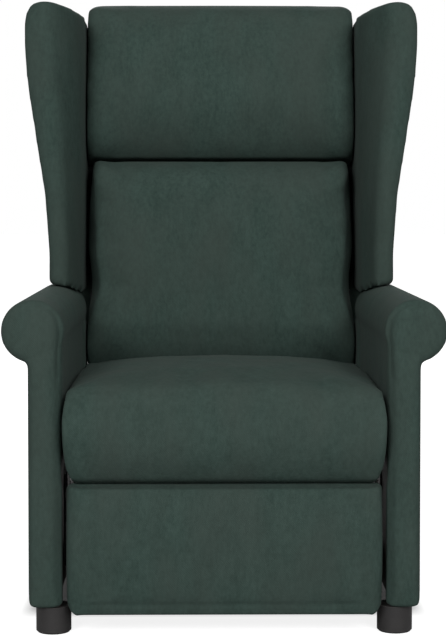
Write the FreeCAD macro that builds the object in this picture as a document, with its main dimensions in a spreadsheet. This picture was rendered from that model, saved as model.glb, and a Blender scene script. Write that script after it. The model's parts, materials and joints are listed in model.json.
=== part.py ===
import FreeCAD, Part
import math
import os

import Sketcher

# Wing-back armchair that reclines when the sitter leans back.
# The seat rides on swing links, the back turns on the seat, and a linkage
# lifts the footrest. X points to the right of a viewer in front of the chair,
# the front faces -Y, Z is up, and the origin is on the floor under the middle.
# Lengths are in millimetres and angles in degrees.

os.makedirs("parts", exist_ok=True)
doc = FreeCAD.newDocument("MassageArmchair")
sheet = doc.addObject("Spreadsheet::Sheet", "Sizes")

SIZES = {
    # Arms, from the rolls inwards
    "arm_span": 704,
    "arm_roll_radius": 50,
    "arm_roll_overhang": 42,
    "arm_outer_padding": 24,
    "arm_board_thickness": 18,
    "arm_inner_padding": 12,
    "arm_height": 531,
    "arm_depth": 565,
    "arm_set_back": 25,
    "arm_tail_length": 55,
    "arm_tail_height": 300,
    "arm_inner_padding_base": 345,
    "arm_front_round": 12,
    "arm_inner_round": 8,
    "arm_lip_width": 10,
    "arm_lip_depth": 30,
    "arm_lip_round": 9,
    "arm_board_cover": 20,
    "arm_board_top": 470,
    "arm_board_round": 30,
    # Feet
    "foot_height": 43,
    "foot_radius": 28,
    "foot_chamfer": 3,
    "foot_inward": 5,
    "foot_front_inset": 37,
    "foot_rear_inset": 55,
    # Cross rails between the arms and the control box on the rear one
    "cross_rail_base": 50,
    "cross_rail_height": 70,
    "cross_rail_thickness": 22,
    "cross_rail_round": 3,
    "front_rail_forward": 333,
    "rear_rail_forward": 8,
    "control_box_width": 120,
    "control_box_depth": 38,
    "control_box_height": 60,
    "control_box_lift": 5,
    "control_box_round": 4,
    "inlet_bore_radius": 3.2,
    "inlet_bore_depth": 12,
    "inlet_boss_radius": 5.5,
    "inlet_boss_recess": 1.5,
    # Sheet-metal plates and the studs that they turn on
    "plate_thickness": 3,
    "plate_gap": 3,
    "pivot_radius": 5,
    "pivot_clearance": 0.08,
    "open_pivot_clearance": 1.2,
    "axial_clearance": 0.15,
    "stud_head_radius": 8,
    "stud_head_thickness": 1.3,
    # Back hinge on the seat, and the swing links under the seat
    "hinge_setback": 590,
    "hinge_height": 308,
    "hinge_lobe_radius": 18,
    "back_tilt": 12,
    "swing_length": 80,
    "swing_lean": 34,
    "swing_pivot_height": 204.4,
    "front_swing_forward": 350,
    "rear_swing_forward": 130,
    "swing_link_radius": 12,
    "base_plate_radius": 18,
    "base_plate_leg_height": 85,
    # Drive links from the base to the foot of the back
    "drive_pivot_forward": 71.9,
    "drive_pivot_height": 62,
    "drive_arm_rearward": 17.06,
    "drive_arm_drop": 46,
    "drive_link_radius": 13,
    "drive_link_end_radius": 11,
    # Footrest linkage, forward of the hinge and above the floor
    "link_a_forward": 475,
    "link_a_height": 178,
    "link_b_forward": 461,
    "link_b_height": 214,
    "link_ac_forward": 423,
    "link_ac_height": 84.5,
    "link_bc_forward": 409,
    "link_bc_height": 115,
    "link_bd_forward": 408,
    "link_bd_height": 66,
    "footrest_pivot_forward": 502,
    "footrest_pivot_height": 200,
    "footrest_pivot_spacing": 50,
    "link_radius": 10,
    "cross_tube_radius": 8,
    "cross_tube_share_along": 0.5,
    # Seat bracket
    "seat_bracket_drop": 33,
    "seat_bracket_radius": 25,
    "seat_bracket_lobe_radius": 14,
    "seat_bracket_neck_rise": 27,
    "seat_bracket_neck_radius": 14,
    "seat_bracket_neck_reach": 18,
    # Seat frame and springs
    "seat_rail_base": 285,
    "seat_rail_height": 40,
    "seat_rail_thickness": 22,
    "seat_rail_round": 2,
    "seat_frame_set_back": 62,
    "seat_frame_depth": 440,
    "seat_spring_wire_radius": 1.9,
    "seat_spring_half_width": 24,
    "seat_spring_pitch": 104,
    "seat_spring_end_inset": 10,
    "resting_gap": 0.3,
    # Seat cushion
    "seat_side_gap": 4,
    "seat_crown_height": 433,
    "seat_crown_rise": 30,
    "seat_front_shoulder": 20,
    "seat_rear_height": 415,
    "seat_rear_slant": 22,
    "seat_rear_clearance": 116,
    "seat_drop_depth": 55,
    "seat_drop_base": 240,
    "seat_drop_round": 14,
    "seat_edge_round": 16,
    "seat_front_bulge": 7,
    "seat_taper_width": 14,
    "seat_taper_height": 80,
    # Back frame
    "back_side_gap": 5,
    "stile_width": 30,
    "stile_thickness": 25,
    "stile_foot": -60,
    "stile_top": 730,
    "back_frame_front": 20,
    "back_rail_height": 45,
    "top_rail_drop": 5,
    "middle_rail_base": 425,
    "bottom_rail_base": 45,
    "back_cover_thickness": 15,
    "back_cover_foot": -25,
    "back_cover_top": 742,
    "back_cover_wide_foot": 130,
    "back_cover_round": 6,
    "webbing_thickness": 2,
    "webbing_foot": 40,
    "webbing_top": 715,
    "webbing_band": 38,
    "webbing_margin": 6,
    "back_bracket_radius": 12,
    "back_bracket_top": 205,
    # Back cushions
    "lumbar_foot": 22,
    "lumbar_top": 455,
    "head_foot": 457,
    "head_top": 770,
    "back_cushion_rear": 18,
    "back_cushion_depth": 130,
    "back_cushion_tuck": 42,
    "back_edge_round": 20,
    "head_edge_round": 28,
    "head_side_reach": 2,
    # Wings
    "wing_roll_gap": 5,
    "wing_foot_drop": 24,
    "wing_height": 1048,
    "wing_rear_drop": 23,
    "wing_foot_reach": 61,
    "wing_top_reach": 109,
    "wing_foot_thickness": 36,
    "wing_top_thickness": 60,
    "wing_foot_set_back": 455,
    "wing_top_set_back": 495,
    "wing_front_bulge": 12,
    "wing_outer_bulge": 5,
    "wing_cushion_gap": 6,
    "wing_rear_reach": 49,
    "wing_cheek_depth": 112,
    "wing_foot_cheek_bulge": 5,
    "wing_top_cheek_bulge": 11,
    "wing_edge_round": 12,
    "wing_top_round": 50,
    "wing_rail_width": 13,
    "wing_rail_foot": 250,
    "wing_rail_top": 690,
    # Footrest
    "footrest_foot": 40,
    "footrest_height": 196,
    "footrest_set_back": 8,
    "footrest_pad_depth": 47,
    "footrest_board_thickness": 15,
    "footrest_board_margin": 6,
    "footrest_side_gap": 5,
    "footrest_edge_round": 16,
    "footrest_corner_round": 7,
    "footrest_front_bulge": 8,
    "footrest_flange_width": 22,
    "footrest_bracket_radius": 12,
    "footrest_bracket_height": 96,
    "footrest_bracket_foot": 126,
    # Massage motors
    "motor_radius": 26,
    "motor_length": 30,
    "motor_wall": 3,
    "motor_pocket_gap": 0.5,
    "rotor_radius": 17,
    "rotor_length": 12,
    "rotor_shaft_radius": 2.5,
    "rotor_bearing_depth": 1.5,
    "rotor_clearance": 0.05,
    "lumbar_motor_spread": 95,
    "lumbar_motor_height": 190,
    "seat_motor_spread": 100,
    "seat_motor_forward": 300,
    # Overrun of every cutting tool
    "overrun": 4,
}


class Size:
    """A length or angle: its number, and the sheet expression that it follows."""

    def __init__(self, value, text):
        self.value = float(value)
        self.text = text

    def __float__(self):
        return self.value

    def _joined(self, sign, other, value):
        return Size(value, f"({self.text} {sign} {as_size(other).text})")

    def __add__(self, other):
        return self._joined("+", other, self.value + float(other))

    def __sub__(self, other):
        return self._joined("-", other, self.value - float(other))

    def __mul__(self, other):
        return self._joined("*", other, self.value * float(other))

    def __truediv__(self, other):
        return self._joined("/", other, self.value / float(other))

    def __neg__(self):
        return Size(-self.value, f"(0 - {self.text})")

    def __rmul__(self, other):
        return as_size(other) * self

    def __radd__(self, other):
        return as_size(other) + self

    def __rsub__(self, other):
        return as_size(other) - self


def as_size(value):
    """A plain number becomes a Size that follows nothing."""
    return value if isinstance(value, Size) else Size(value, f"({float(value)})")


def sine(angle):
    return Size(math.sin(math.radians(float(angle))), f"sin({angle.text})")


def cosine(angle):
    return Size(math.cos(math.radians(float(angle))), f"cos({angle.text})")


class SizeTable:
    """The driving sizes as attributes, each also a named cell of the sheet."""

    def __init__(self, values):
        for row, (name, value) in enumerate(values.items(), start=1):
            sheet.set(f"A{row}", name)
            sheet.set(f"B{row}", str(value))
            sheet.setAlias(f"B{row}", name)
            setattr(self, name, Size(value, f"Sizes.{name}"))


size = SizeTable(SIZES)
doc.recompute()

SIDES = (("left", -1), ("right", 1))
ZERO = Size(0, "0")
FULL_TURN = 360

# How near an edge lies to the place that is looked for, and how parallel it is
NEAR = 1.0
PARALLEL = 1e-6

# Sizes worked out from the driving ones.
# Stations across the chair, from the arm rolls inwards
roll_x = size.arm_span / 2 - size.arm_roll_radius
arm_outer_x = size.arm_span / 2 - size.arm_roll_overhang
board_outer_x = arm_outer_x - size.arm_outer_padding
board_inner_x = board_outer_x - size.arm_board_thickness
arm_inner_x = board_inner_x - size.arm_inner_padding
seat_half_width = arm_inner_x - size.seat_side_gap
back_half_width = arm_inner_x - size.back_side_gap
footrest_half_width = seat_half_width - size.footrest_side_gap

# Inner faces of the layers of plates between the arm boards and the seat
layer_step = size.plate_thickness + size.plate_gap
base_layer = board_inner_x - size.plate_thickness
swing_layer = base_layer - layer_step
seat_layer = swing_layer - layer_step
back_layer = seat_layer - layer_step
link_a_layer = back_layer
link_c_layer = link_a_layer - layer_step
link_b_layer = link_c_layer - layer_step
link_d_layer = link_b_layer - layer_step
stile_outer_x = back_layer
seat_frame_half = seat_layer

# Depth: the foremost face of the seat and the rearmost edge of the back
# stand equally far from the middle.
tilt_sine = sine(size.back_tilt)
tilt_cosine = cosine(size.back_tilt)
back_frame_rear = size.back_frame_front + size.stile_thickness
back_rear = back_frame_rear + size.back_cover_thickness
rear_reach = back_rear * tilt_cosine + size.back_cover_top * tilt_sine
chair_depth = size.hinge_setback + rear_reach
front_y = -chair_depth / 2
hinge_y = front_y + size.hinge_setback

# Arms and base
arm_front_y = front_y + size.arm_set_back
arm_rear_y = arm_front_y + size.arm_depth
arm_tail_y = arm_rear_y + size.arm_tail_length
roll_z = size.arm_height - size.arm_roll_radius
rear_rail_y = hinge_y - size.rear_rail_forward - size.cross_rail_thickness

# Seat
spring_z = size.seat_rail_base + size.seat_rail_height + size.resting_gap + size.seat_spring_wire_radius
seat_underside = spring_z + size.seat_spring_wire_radius + size.resting_gap
seat_frame_front = front_y + size.seat_frame_set_back
seat_frame_rear = seat_frame_front + size.seat_frame_depth

# Footrest
footrest_front_y = front_y + size.footrest_set_back
footrest_board_y = footrest_front_y + size.footrest_pad_depth
footrest_rear_y = footrest_board_y + size.footrest_board_thickness
footrest_top = size.footrest_foot + size.footrest_height

# Motors
motor_cavity_radius = size.motor_radius - size.motor_wall
motor_cavity_length = size.motor_length - 2 * size.motor_wall
rotor_shaft_length = motor_cavity_length + 2 * size.rotor_bearing_depth - 2 * size.axial_clearance


class Pivot:
    """A pivot's place in the side view, as the sizes of its Y and Z."""

    def __init__(self, y, z):
        self.y = y
        self.z = z


def ahead_of_hinge(forward, height):
    return Pivot(hinge_y - forward, height)


hinge = Pivot(hinge_y, size.hinge_height)
swing_reach = size.swing_length * sine(size.swing_lean)
swing_rise = size.swing_length * cosine(size.swing_lean)
front_swing_foot = ahead_of_hinge(size.front_swing_forward, size.swing_pivot_height)
front_swing_head = Pivot(front_swing_foot.y + swing_reach, front_swing_foot.z + swing_rise)
rear_swing_foot = ahead_of_hinge(size.rear_swing_forward, size.swing_pivot_height)
rear_swing_head = Pivot(rear_swing_foot.y + swing_reach, rear_swing_foot.z + swing_rise)
drive_foot = ahead_of_hinge(size.drive_pivot_forward, size.drive_pivot_height)
drive_head = Pivot(
    hinge.y + size.drive_arm_rearward * tilt_cosine - size.drive_arm_drop * tilt_sine,
    hinge.z - size.drive_arm_rearward * tilt_sine - size.drive_arm_drop * tilt_cosine,
)
link_a_root = ahead_of_hinge(size.link_a_forward, size.link_a_height)
link_b_root = ahead_of_hinge(size.link_b_forward, size.link_b_height)
joint_ac = ahead_of_hinge(size.link_ac_forward, size.link_ac_height)
joint_bc = ahead_of_hinge(size.link_bc_forward, size.link_bc_height)
joint_bd = ahead_of_hinge(size.link_bd_forward, size.link_bd_height)
footrest_upper = ahead_of_hinge(size.footrest_pivot_forward, size.footrest_pivot_height)
footrest_lower = Pivot(footrest_upper.y, footrest_upper.z - size.footrest_pivot_spacing)

UP = FreeCAD.Vector(0, 0, 1)
FRONT = FreeCAD.Vector(0, -1, 0)

sub_parts = []


# Helpers for sketches and bodies
def operand_body(name):
    """An empty body that a boolean will use."""
    return doc.addObject("PartDesign::Body", name)


def new_body(label):
    """An empty body that becomes one sub-part."""
    body = operand_body(label)
    body.Label = label
    sub_parts.append(body)
    return body


def sketch_on(body, plane_role, name, offset=ZERO):
    """An empty sketch on one of the body's own origin planes, moved along its normal."""
    sketch = body.newObject("Sketcher::SketchObject", name)
    plane = next(item for item in body.Origin.OriginFeatures if item.Role == plane_role)
    sketch.AttachmentSupport = [(plane, "")]
    sketch.MapMode = "FlatFace"
    sketch.setExpression("AttachmentOffset.Base.z", offset.text)
    return sketch


def bind_constraint(sketch, constraint, value):
    index = sketch.addConstraint(constraint)
    sketch.setExpression(f"Constraints[{index}]", value.text)


def bind_point(sketch, geometry, corner, across, up):
    """Hold one point of the geometry at its two sizes from the sketch's origin."""
    along_x = Sketcher.Constraint("DistanceX", -1, 1, geometry, corner, float(across))
    bind_constraint(sketch, along_x, as_size(across))
    along_y = Sketcher.Constraint("DistanceY", -1, 1, geometry, corner, float(up))
    bind_constraint(sketch, along_y, as_size(up))


def closed_outline(sketch, corners):
    """Straight edges through the corners, each corner bound to its sizes."""
    places = [FreeCAD.Vector(float(across), float(up), 0) for across, up in corners]
    first = sketch.GeometryCount
    count = len(places)
    for index in range(count):
        sketch.addGeometry(Part.LineSegment(places[index], places[(index + 1) % count]))
    for index in range(count):
        following = first + (index + 1) % count
        sketch.addConstraint(Sketcher.Constraint("Coincident", first + index, 2, following, 1))
    for index, (across, up) in enumerate(corners):
        bind_point(sketch, first + index, 1, across, up)


def rectangle(sketch, left, bottom, right, top):
    closed_outline(sketch, ((left, bottom), (right, bottom), (right, top), (left, top)))


def circle(sketch, across, up, radius):
    """A circle bound to its centre and radius."""
    centre = FreeCAD.Vector(float(across), float(up), 0)
    index = sketch.addGeometry(Part.Circle(centre, FreeCAD.Vector(0, 0, 1), float(radius)))
    bind_point(sketch, index, 3, across, up)
    bind_constraint(sketch, Sketcher.Constraint("Radius", index, float(radius)), as_size(radius))


def bar_outline(sketch, first, second, first_radius, second_radius):
    """The outline of a bar: an arc round each of two points, joined by tangent lines."""
    normal = FreeCAD.Vector(0, 0, 1)
    start = FreeCAD.Vector(float(first.y), float(first.z), 0)
    end = FreeCAD.Vector(float(second.y), float(second.z), 0)
    radii = (float(first_radius), float(second_radius))
    along = end - start
    lean = (radii[0] - radii[1]) / along.Length
    along.normalize()
    aside = FreeCAD.Vector(-along.y, along.x, 0) * math.sqrt(1 - lean * lean)
    left = along * lean + aside
    right = along * lean - aside
    left_angle = math.atan2(left.y, left.x)
    right_angle = math.atan2(right.y, right.x)
    back_turn = right_angle if right_angle > left_angle else right_angle + 2 * math.pi
    front_turn = left_angle if left_angle > right_angle else left_angle + 2 * math.pi
    index = sketch.GeometryCount
    sketch.addGeometry(
        [
            Part.ArcOfCircle(Part.Circle(start, normal, radii[0]), left_angle, back_turn),
            Part.LineSegment(start + right * radii[0], end + right * radii[1]),
            Part.ArcOfCircle(Part.Circle(end, normal, radii[1]), right_angle, front_turn),
            Part.LineSegment(end + left * radii[1], start + left * radii[0]),
        ]
    )
    for step in range(4):
        following = index + (step + 1) % 4
        sketch.addConstraint(Sketcher.Constraint("Tangent", index + step, 2, following, 1))
    for arc, point, radius in ((index, first, first_radius), (index + 2, second, second_radius)):
        bind_point(sketch, arc, 3, point.y, point.z)
        bind_constraint(sketch, Sketcher.Constraint("Radius", arc, float(radius)), as_size(radius))


def pad(body, sketch, length):
    feature = body.newObject("PartDesign::Pad", f"{sketch.Name}_pad")
    feature.Profile = sketch
    feature.setExpression("Length", length.text)
    sketch.Visibility = False
    return feature


def pocket(body, sketch, length, towards_normal=True):
    """Cut the sketch's shape out of the body, and see that material went."""
    doc.recompute()
    before = body.Shape.Volume
    feature = body.newObject("PartDesign::Pocket", f"{sketch.Name}_pocket")
    feature.Profile = sketch
    feature.setExpression("Length", length.text)
    feature.Reversed = towards_normal
    doc.recompute()
    if not body.Shape.Volume < before:
        raise RuntimeError(f"{feature.Name} cuts nothing")
    return feature


def round_edges(body, radius, chosen):
    """Fillet the body's edges that the test chooses."""
    doc.recompute()
    base = body.Tip
    names = [f"Edge{index}" for index, edge in enumerate(base.Shape.Edges, start=1) if chosen(edge)]
    feature = body.newObject("PartDesign::Fillet", f"{base.Name}_fillet")
    feature.Base = (base, names)
    feature.setExpression("Radius", radius.text)
    body.Tip = feature
    doc.recompute()
    return feature


def edge_runs_along(axis):
    """A test for straight edges that lie along the axis 0, 1 or 2."""

    def test(edge):
        if len(edge.Vertexes) != 2 or not isinstance(edge.Curve, Part.Line):
            return False
        return abs(abs(edge.Curve.Direction[axis]) - 1) < PARALLEL

    return test


def tilt_with_back(item):
    """Put a piece that is drawn in the back's own frame on the tilted back."""
    item.Placement = FreeCAD.Placement(
        FreeCAD.Vector(0, float(hinge.y), float(hinge.z)),
        FreeCAD.Rotation(FreeCAD.Vector(-1, 0, 0), float(size.back_tilt)),
    )
    item.setExpression("Placement.Base.y", hinge.y.text)
    item.setExpression("Placement.Base.z", hinge.z.text)
    item.setExpression("Placement.Rotation.Angle", size.back_tilt.text)


def side_start(side, inner, width):
    """Where a piece between inner and inner + width begins, on the given side."""
    return inner if side > 0 else -(inner + width)


def side_rail(label, side, inner, width, front, bottom, rear, top, edge_round):
    """A rail of rectangular section along the depth or the height of one side."""
    body = new_body(label)
    sketch = sketch_on(body, "YZ_Plane", f"{label}_profile", side_start(side, inner, width))
    rectangle(sketch, front, bottom, rear, top)
    pad(body, sketch, width)
    longest = 1 if float(rear - front) > float(top - bottom) else 2
    round_edges(body, edge_round, edge_runs_along(longest))
    return body


def cross_rail(label, half_length, front, bottom, rear, top, edge_round):
    """A rail of rectangular section that runs across the chair."""
    body = new_body(label)
    sketch = sketch_on(body, "YZ_Plane", f"{label}_profile", -half_length)
    rectangle(sketch, front, bottom, rear, top)
    pad(body, sketch, 2 * half_length)
    round_edges(body, edge_round, edge_runs_along(0))
    return body


class Stud:
    """A pivot stud welded to a plate, with a collar beside the turning plate and a head past it."""

    def __init__(self, pivot, partner_layer):
        self.pivot = pivot
        self.partner_layer = partner_layer


def add_disc(body, name, side, pivot, radius, inner, width):
    sketch = sketch_on(body, "YZ_Plane", name, side_start(side, inner, width))
    circle(sketch, pivot.y, pivot.z, radius)
    pad(body, sketch, width)


def add_stud(body, side, number, layer, stud):
    """Collar, shank and head of one stud on the plate in the given layer."""
    name = f"{body.Name}_stud{number}"
    partner_outer = stud.partner_layer + size.plate_thickness
    collar_width = size.plate_gap - size.axial_clearance
    if float(stud.partner_layer) < float(layer):
        collar = partner_outer + size.axial_clearance
        head = stud.partner_layer - size.axial_clearance - size.stud_head_thickness
        shank = (head, layer - head)
    else:
        collar = stud.partner_layer - size.plate_gap
        head = partner_outer + size.axial_clearance
        root = layer + size.plate_thickness
        shank = (root, head + size.stud_head_thickness - root)
    add_disc(body, f"{name}_shank", side, stud.pivot, size.pivot_radius, *shank)
    add_disc(body, f"{name}_collar", side, stud.pivot, size.stud_head_radius, collar, collar_width)
    add_disc(body, f"{name}_head", side, stud.pivot, size.stud_head_radius, head, size.stud_head_thickness)


def side_plate(label, side, layer, bars, studs=(), holes=(), open_holes=()):
    """A flat plate of joined bars on one side, with its studs and pivot holes."""
    body = new_body(label)
    start = side_start(side, layer, size.plate_thickness)
    for number, bar in enumerate(bars):
        sketch = sketch_on(body, "YZ_Plane", f"{label}_bar{number}", start)
        bar_outline(sketch, *bar)
        pad(body, sketch, size.plate_thickness)
    for number, stud in enumerate(studs):
        add_stud(body, side, number, layer, stud)
    if holes or open_holes:
        sketch = sketch_on(body, "YZ_Plane", f"{label}_holes", start)
        for pivot in holes:
            circle(sketch, pivot.y, pivot.z, size.pivot_radius + size.pivot_clearance)
        for pivot in open_holes:
            circle(sketch, pivot.y, pivot.z, size.pivot_radius + size.open_pivot_clearance)
        pocket(body, sketch, size.plate_thickness)
    return body


def new_feature(label, shape):
    """A sub-part whose shape is made from sections."""
    feature = doc.addObject("Part::Feature", label)
    feature.Label = label
    feature.Shape = shape
    sub_parts.append(feature)
    return feature


# Helpers for the soft pieces
def point(x, y, z):
    return FreeCAD.Vector(float(x), float(y), float(z))


def line_edge(start, end):
    return Part.LineSegment(start, end).toShape()


def bulging_edge(start, end, towards, bulge):
    """An arc from start to end that bulges towards the given direction."""
    middle = (start + end) * 0.5 + towards * float(bulge)
    return Part.Arc(start, middle, end).toShape()


ROUND_SHARE = 1 - math.sqrt(0.5)


def corner_arc(start, corner, end):
    """An arc from start to end that rounds the corner between them."""
    middle = corner + (start - corner + end - corner) * ROUND_SHARE
    return Part.Arc(start, middle, end).toShape()


def pillow_inset(distance, radius):
    """How far a soft side draws in at a distance from its end, for an edge of that radius."""
    if distance >= radius:
        return 0.0
    return radius - math.sqrt(radius * radius - (radius - distance) ** 2)


END_SHARES = (0.05, 0.25, 0.6, 1.0)
MIDDLE_SHARES = (-0.75, -0.4, 0.0, 0.4, 0.75)


def cushion_stations(half_width, edge_round):
    """Places across a cushion, close together at its rounded ends, each with its inset."""
    half = float(half_width)
    edge = float(edge_round)
    ends = [half - share * edge for share in END_SHARES]
    places = [-place for place in ends] + [share * half for share in MIDDLE_SHARES] + ends[::-1]
    shift = END_SHARES[0] * edge
    return [(place, pillow_inset(half + shift - abs(place), edge)) for place in places]


def loft_across(profile, half_width, edge_round):
    """A soft solid through one profile per station across the chair."""
    wires = []
    for place, inset in cushion_stations(half_width, edge_round):
        wires.append(Part.Wire(profile(place, inset)))
    return Part.makeLoft(wires, True, True)


# Arms, feet and base
def board_outline(front, rear, bottom):
    """Corners of an arm board in the side view; its rear edge leans forwards above the tail."""
    step = size.arm_board_cover
    return (
        (front, bottom),
        (rear, bottom),
        (rear, size.arm_tail_height - step),
        (arm_rear_y - step, size.arm_board_top),
        (front, size.arm_board_top),
    )


def arm_board(name, side):
    """Plywood side of the base, which carries the plates and stands on the feet."""
    label = f"{name}_arm_board"
    body = new_body(label)
    start = side_start(side, board_inner_x, size.arm_board_thickness)
    sketch = sketch_on(body, "YZ_Plane", f"{label}_profile", start)
    front = arm_front_y + size.arm_board_cover
    closed_outline(sketch, board_outline(front, arm_tail_y, size.foot_height))
    pad(body, sketch, size.arm_board_thickness)

    def at_upper_front(edge):
        middle = edge.CenterOfMass
        near_front = abs(middle.y - float(front)) < NEAR
        return edge_runs_along(0)(edge) and near_front and middle.z > float(size.arm_tail_height)

    round_edges(body, size.arm_board_round, at_upper_front)


def arm_panel(label, side):
    """Flat outer panel of an arm, rounded along its front, its tail and its foot."""
    body = operand_body(f"{label}_panel")
    width = arm_outer_x - board_inner_x
    sketch = sketch_on(body, "YZ_Plane", f"{label}_panel_profile", side_start(side, board_inner_x, width))
    closed_outline(
        sketch,
        (
            (arm_front_y, size.foot_height),
            (arm_tail_y, size.foot_height),
            (arm_tail_y, size.arm_tail_height),
            (arm_rear_y, roll_z),
            (arm_front_y, roll_z),
        ),
    )
    pad(body, sketch, width)
    outer_x = side * float(arm_outer_x)

    def exposed(edge):
        middle = edge.CenterOfMass
        outer = abs(middle.x - outer_x) < NEAR
        at_front = abs(middle.y - float(arm_front_y)) < NEAR
        at_tail = abs(middle.y - float(arm_tail_y)) < NEAR
        upright = edge_runs_along(2)(edge) and (at_front or (at_tail and outer))
        foot = edge_runs_along(1)(edge) and outer and middle.z < float(size.foot_height) + NEAR
        return upright or foot

    round_edges(body, size.arm_front_round, exposed)
    return body


def arm_roll(label, side):
    """Round roll on top of an arm, with its two ends rounded."""
    body = operand_body(f"{label}_roll")
    sketch = sketch_on(body, "XZ_Plane", f"{label}_roll_ring", -arm_rear_y)
    circle(sketch, roll_x * side, roll_z, size.arm_roll_radius)
    pad(body, sketch, size.arm_depth)
    ends = (float(arm_front_y), float(arm_rear_y))

    def at_an_end(edge):
        return min(abs(edge.CenterOfMass.y - end) for end in ends) < NEAR

    round_edges(body, size.arm_front_round, at_an_end)
    return body


def arm_inner_panel(label, side):
    """Padding between the board and the seat cushion, under the roll."""
    body = operand_body(f"{label}_inner")
    width = roll_x - arm_inner_x
    sketch = sketch_on(body, "YZ_Plane", f"{label}_inner_profile", side_start(side, arm_inner_x, width))
    front = arm_front_y + size.arm_front_round
    rectangle(sketch, front, size.arm_inner_padding_base, arm_rear_y, roll_z)
    pad(body, sketch, width)
    round_edges(body, size.arm_inner_round, lambda edge: abs(edge.CenterOfMass.y - float(front)) < NEAR)
    return body


def arm_lip(label, side):
    """Padding wrapped round the front edge of the board, beside the footrest."""
    body = operand_body(f"{label}_lip")
    inner = board_inner_x - size.arm_lip_width
    across = board_outer_x - inner
    sketch = sketch_on(body, "YZ_Plane", f"{label}_lip_profile", side_start(side, inner, across))
    front = arm_front_y
    rectangle(sketch, front, size.foot_height, front + size.arm_lip_depth, roll_z)
    pad(body, sketch, across)
    inner_x = side * float(inner)

    def inner_front(edge):
        middle = edge.CenterOfMass
        at_inner_face = abs(middle.x - inner_x) < NEAR
        return edge_runs_along(2)(edge) and at_inner_face and abs(middle.y - float(front)) < NEAR

    round_edges(body, size.arm_lip_round, inner_front)
    return body


def arm_slot(label, side):
    """The space that the board takes up in an arm, open below and behind."""
    body = operand_body(f"{label}_slot")
    start = side_start(side, board_inner_x, size.arm_board_thickness)
    sketch = sketch_on(body, "YZ_Plane", f"{label}_slot_profile", start)
    front = arm_front_y + size.arm_board_cover
    below = size.foot_height - size.overrun
    closed_outline(sketch, board_outline(front, arm_tail_y, below))
    pad(body, sketch, size.arm_board_thickness)
    return body


def arm_pad(name, side):
    """Padded arm: a flat outer panel under a round roll, with a slot for the board."""
    label = f"{name}_arm_pad"
    whole = doc.addObject("Part::MultiFuse", f"{label}_whole")
    pieces = (arm_panel, arm_roll, arm_inner_panel, arm_lip)
    whole.Shapes = [piece(label, side) for piece in pieces]
    cut = doc.addObject("Part::Cut", label)
    cut.Base = whole
    cut.Tool = arm_slot(label, side)
    cut.Label = label
    sub_parts.append(cut)


def foot(name, side, y):
    """Turned foot with a chamfered lower edge, revolved round its own axis."""
    body = operand_body(name)
    sketch = sketch_on(body, "XZ_Plane", f"{name}_half", -y)
    middle = side * ((board_inner_x + board_outer_x) / 2 - size.foot_inward)
    rim = middle + size.foot_radius
    closed_outline(
        sketch,
        (
            (middle, ZERO),
            (rim - size.foot_chamfer, ZERO),
            (rim, size.foot_chamfer),
            (rim, size.foot_height),
            (middle, size.foot_height),
        ),
    )
    turned = body.newObject("PartDesign::Revolution", f"{name}_turned")
    turned.Profile = sketch
    turned.ReferenceAxis = (sketch, ["Edge5"])
    turned.Angle = FULL_TURN
    return body


def feet(label, y):
    """A pair of feet under the two arm boards."""
    pair = doc.addObject("Part::Compound", label)
    pair.Links = [foot(f"{label}_{name}", side, y) for name, side in SIDES]
    pair.Label = label
    sub_parts.append(pair)


def base_plate(name, side):
    """Steel plate on the arm board with the studs of both swing links and the drive link."""
    leg = Pivot(front_swing_foot.y, size.base_plate_leg_height)
    radius = size.base_plate_radius
    side_plate(
        f"{name}_base_plate",
        side,
        base_layer,
        bars=(
            (front_swing_foot, rear_swing_foot, radius, radius),
            (rear_swing_foot, drive_foot, radius, radius),
            (front_swing_foot, leg, radius, radius),
        ),
        studs=(
            Stud(front_swing_foot, swing_layer),
            Stud(rear_swing_foot, swing_layer),
            Stud(drive_foot, seat_layer),
        ),
    )


def base_rails():
    """Rails between the two arms, the front one between the base plates."""
    bottom = size.cross_rail_base
    top = bottom + size.cross_rail_height
    front_rail_y = hinge_y - size.front_rail_forward - size.cross_rail_thickness
    rails = {
        "front_cross_rail": (base_layer, front_rail_y),
        "rear_cross_rail": (board_inner_x, rear_rail_y),
    }
    for label, (half, front) in rails.items():
        rear = front + size.cross_rail_thickness
        cross_rail(label, half, front, bottom, rear, top, size.cross_rail_round)


def control_box():
    """Housing behind the rear rail, with the round power inlet in its rear face."""
    body = new_body("control_box")
    front = rear_rail_y + size.cross_rail_thickness
    bottom = size.cross_rail_base + size.control_box_lift
    top = bottom + size.control_box_height
    half = size.control_box_width / 2
    sketch = sketch_on(body, "XZ_Plane", "control_box_profile", -(front + size.control_box_depth))
    rectangle(sketch, -half, bottom, half, top)
    pad(body, sketch, size.control_box_depth)
    round_edges(body, size.control_box_round, edge_runs_along(1))
    height = (bottom + top) / 2
    rear = front + size.control_box_depth
    recess = sketch_on(body, "XZ_Plane", "control_box_recess", -rear)
    circle(recess, ZERO, height, size.inlet_boss_radius)
    pocket(body, recess, size.inlet_boss_recess, towards_normal=True)
    bore = sketch_on(body, "XZ_Plane", "control_box_bore", -rear)
    circle(bore, ZERO, height, size.inlet_bore_radius)
    pocket(body, bore, size.inlet_bore_depth, towards_normal=True)


# Links
def swing_links():
    """Pairs of links that the seat swings forward on; the rear pair closes the parallelogram."""
    radius = size.swing_link_radius
    for name, side in SIDES:
        side_plate(
            f"{name}_front_swing_link",
            side,
            swing_layer,
            bars=((front_swing_foot, front_swing_head, radius, radius),),
            holes=(front_swing_foot, front_swing_head),
        )
        side_plate(
            f"{name}_rear_swing_link",
            side,
            swing_layer,
            bars=((rear_swing_foot, rear_swing_head, radius, radius),),
            holes=(rear_swing_foot,),
            open_holes=(rear_swing_head,),
        )
        side_plate(
            f"{name}_drive_link",
            side,
            seat_layer,
            bars=((drive_foot, drive_head, size.drive_link_radius, size.drive_link_end_radius),),
            holes=(drive_foot,),
            open_holes=(drive_head,),
        )


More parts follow.
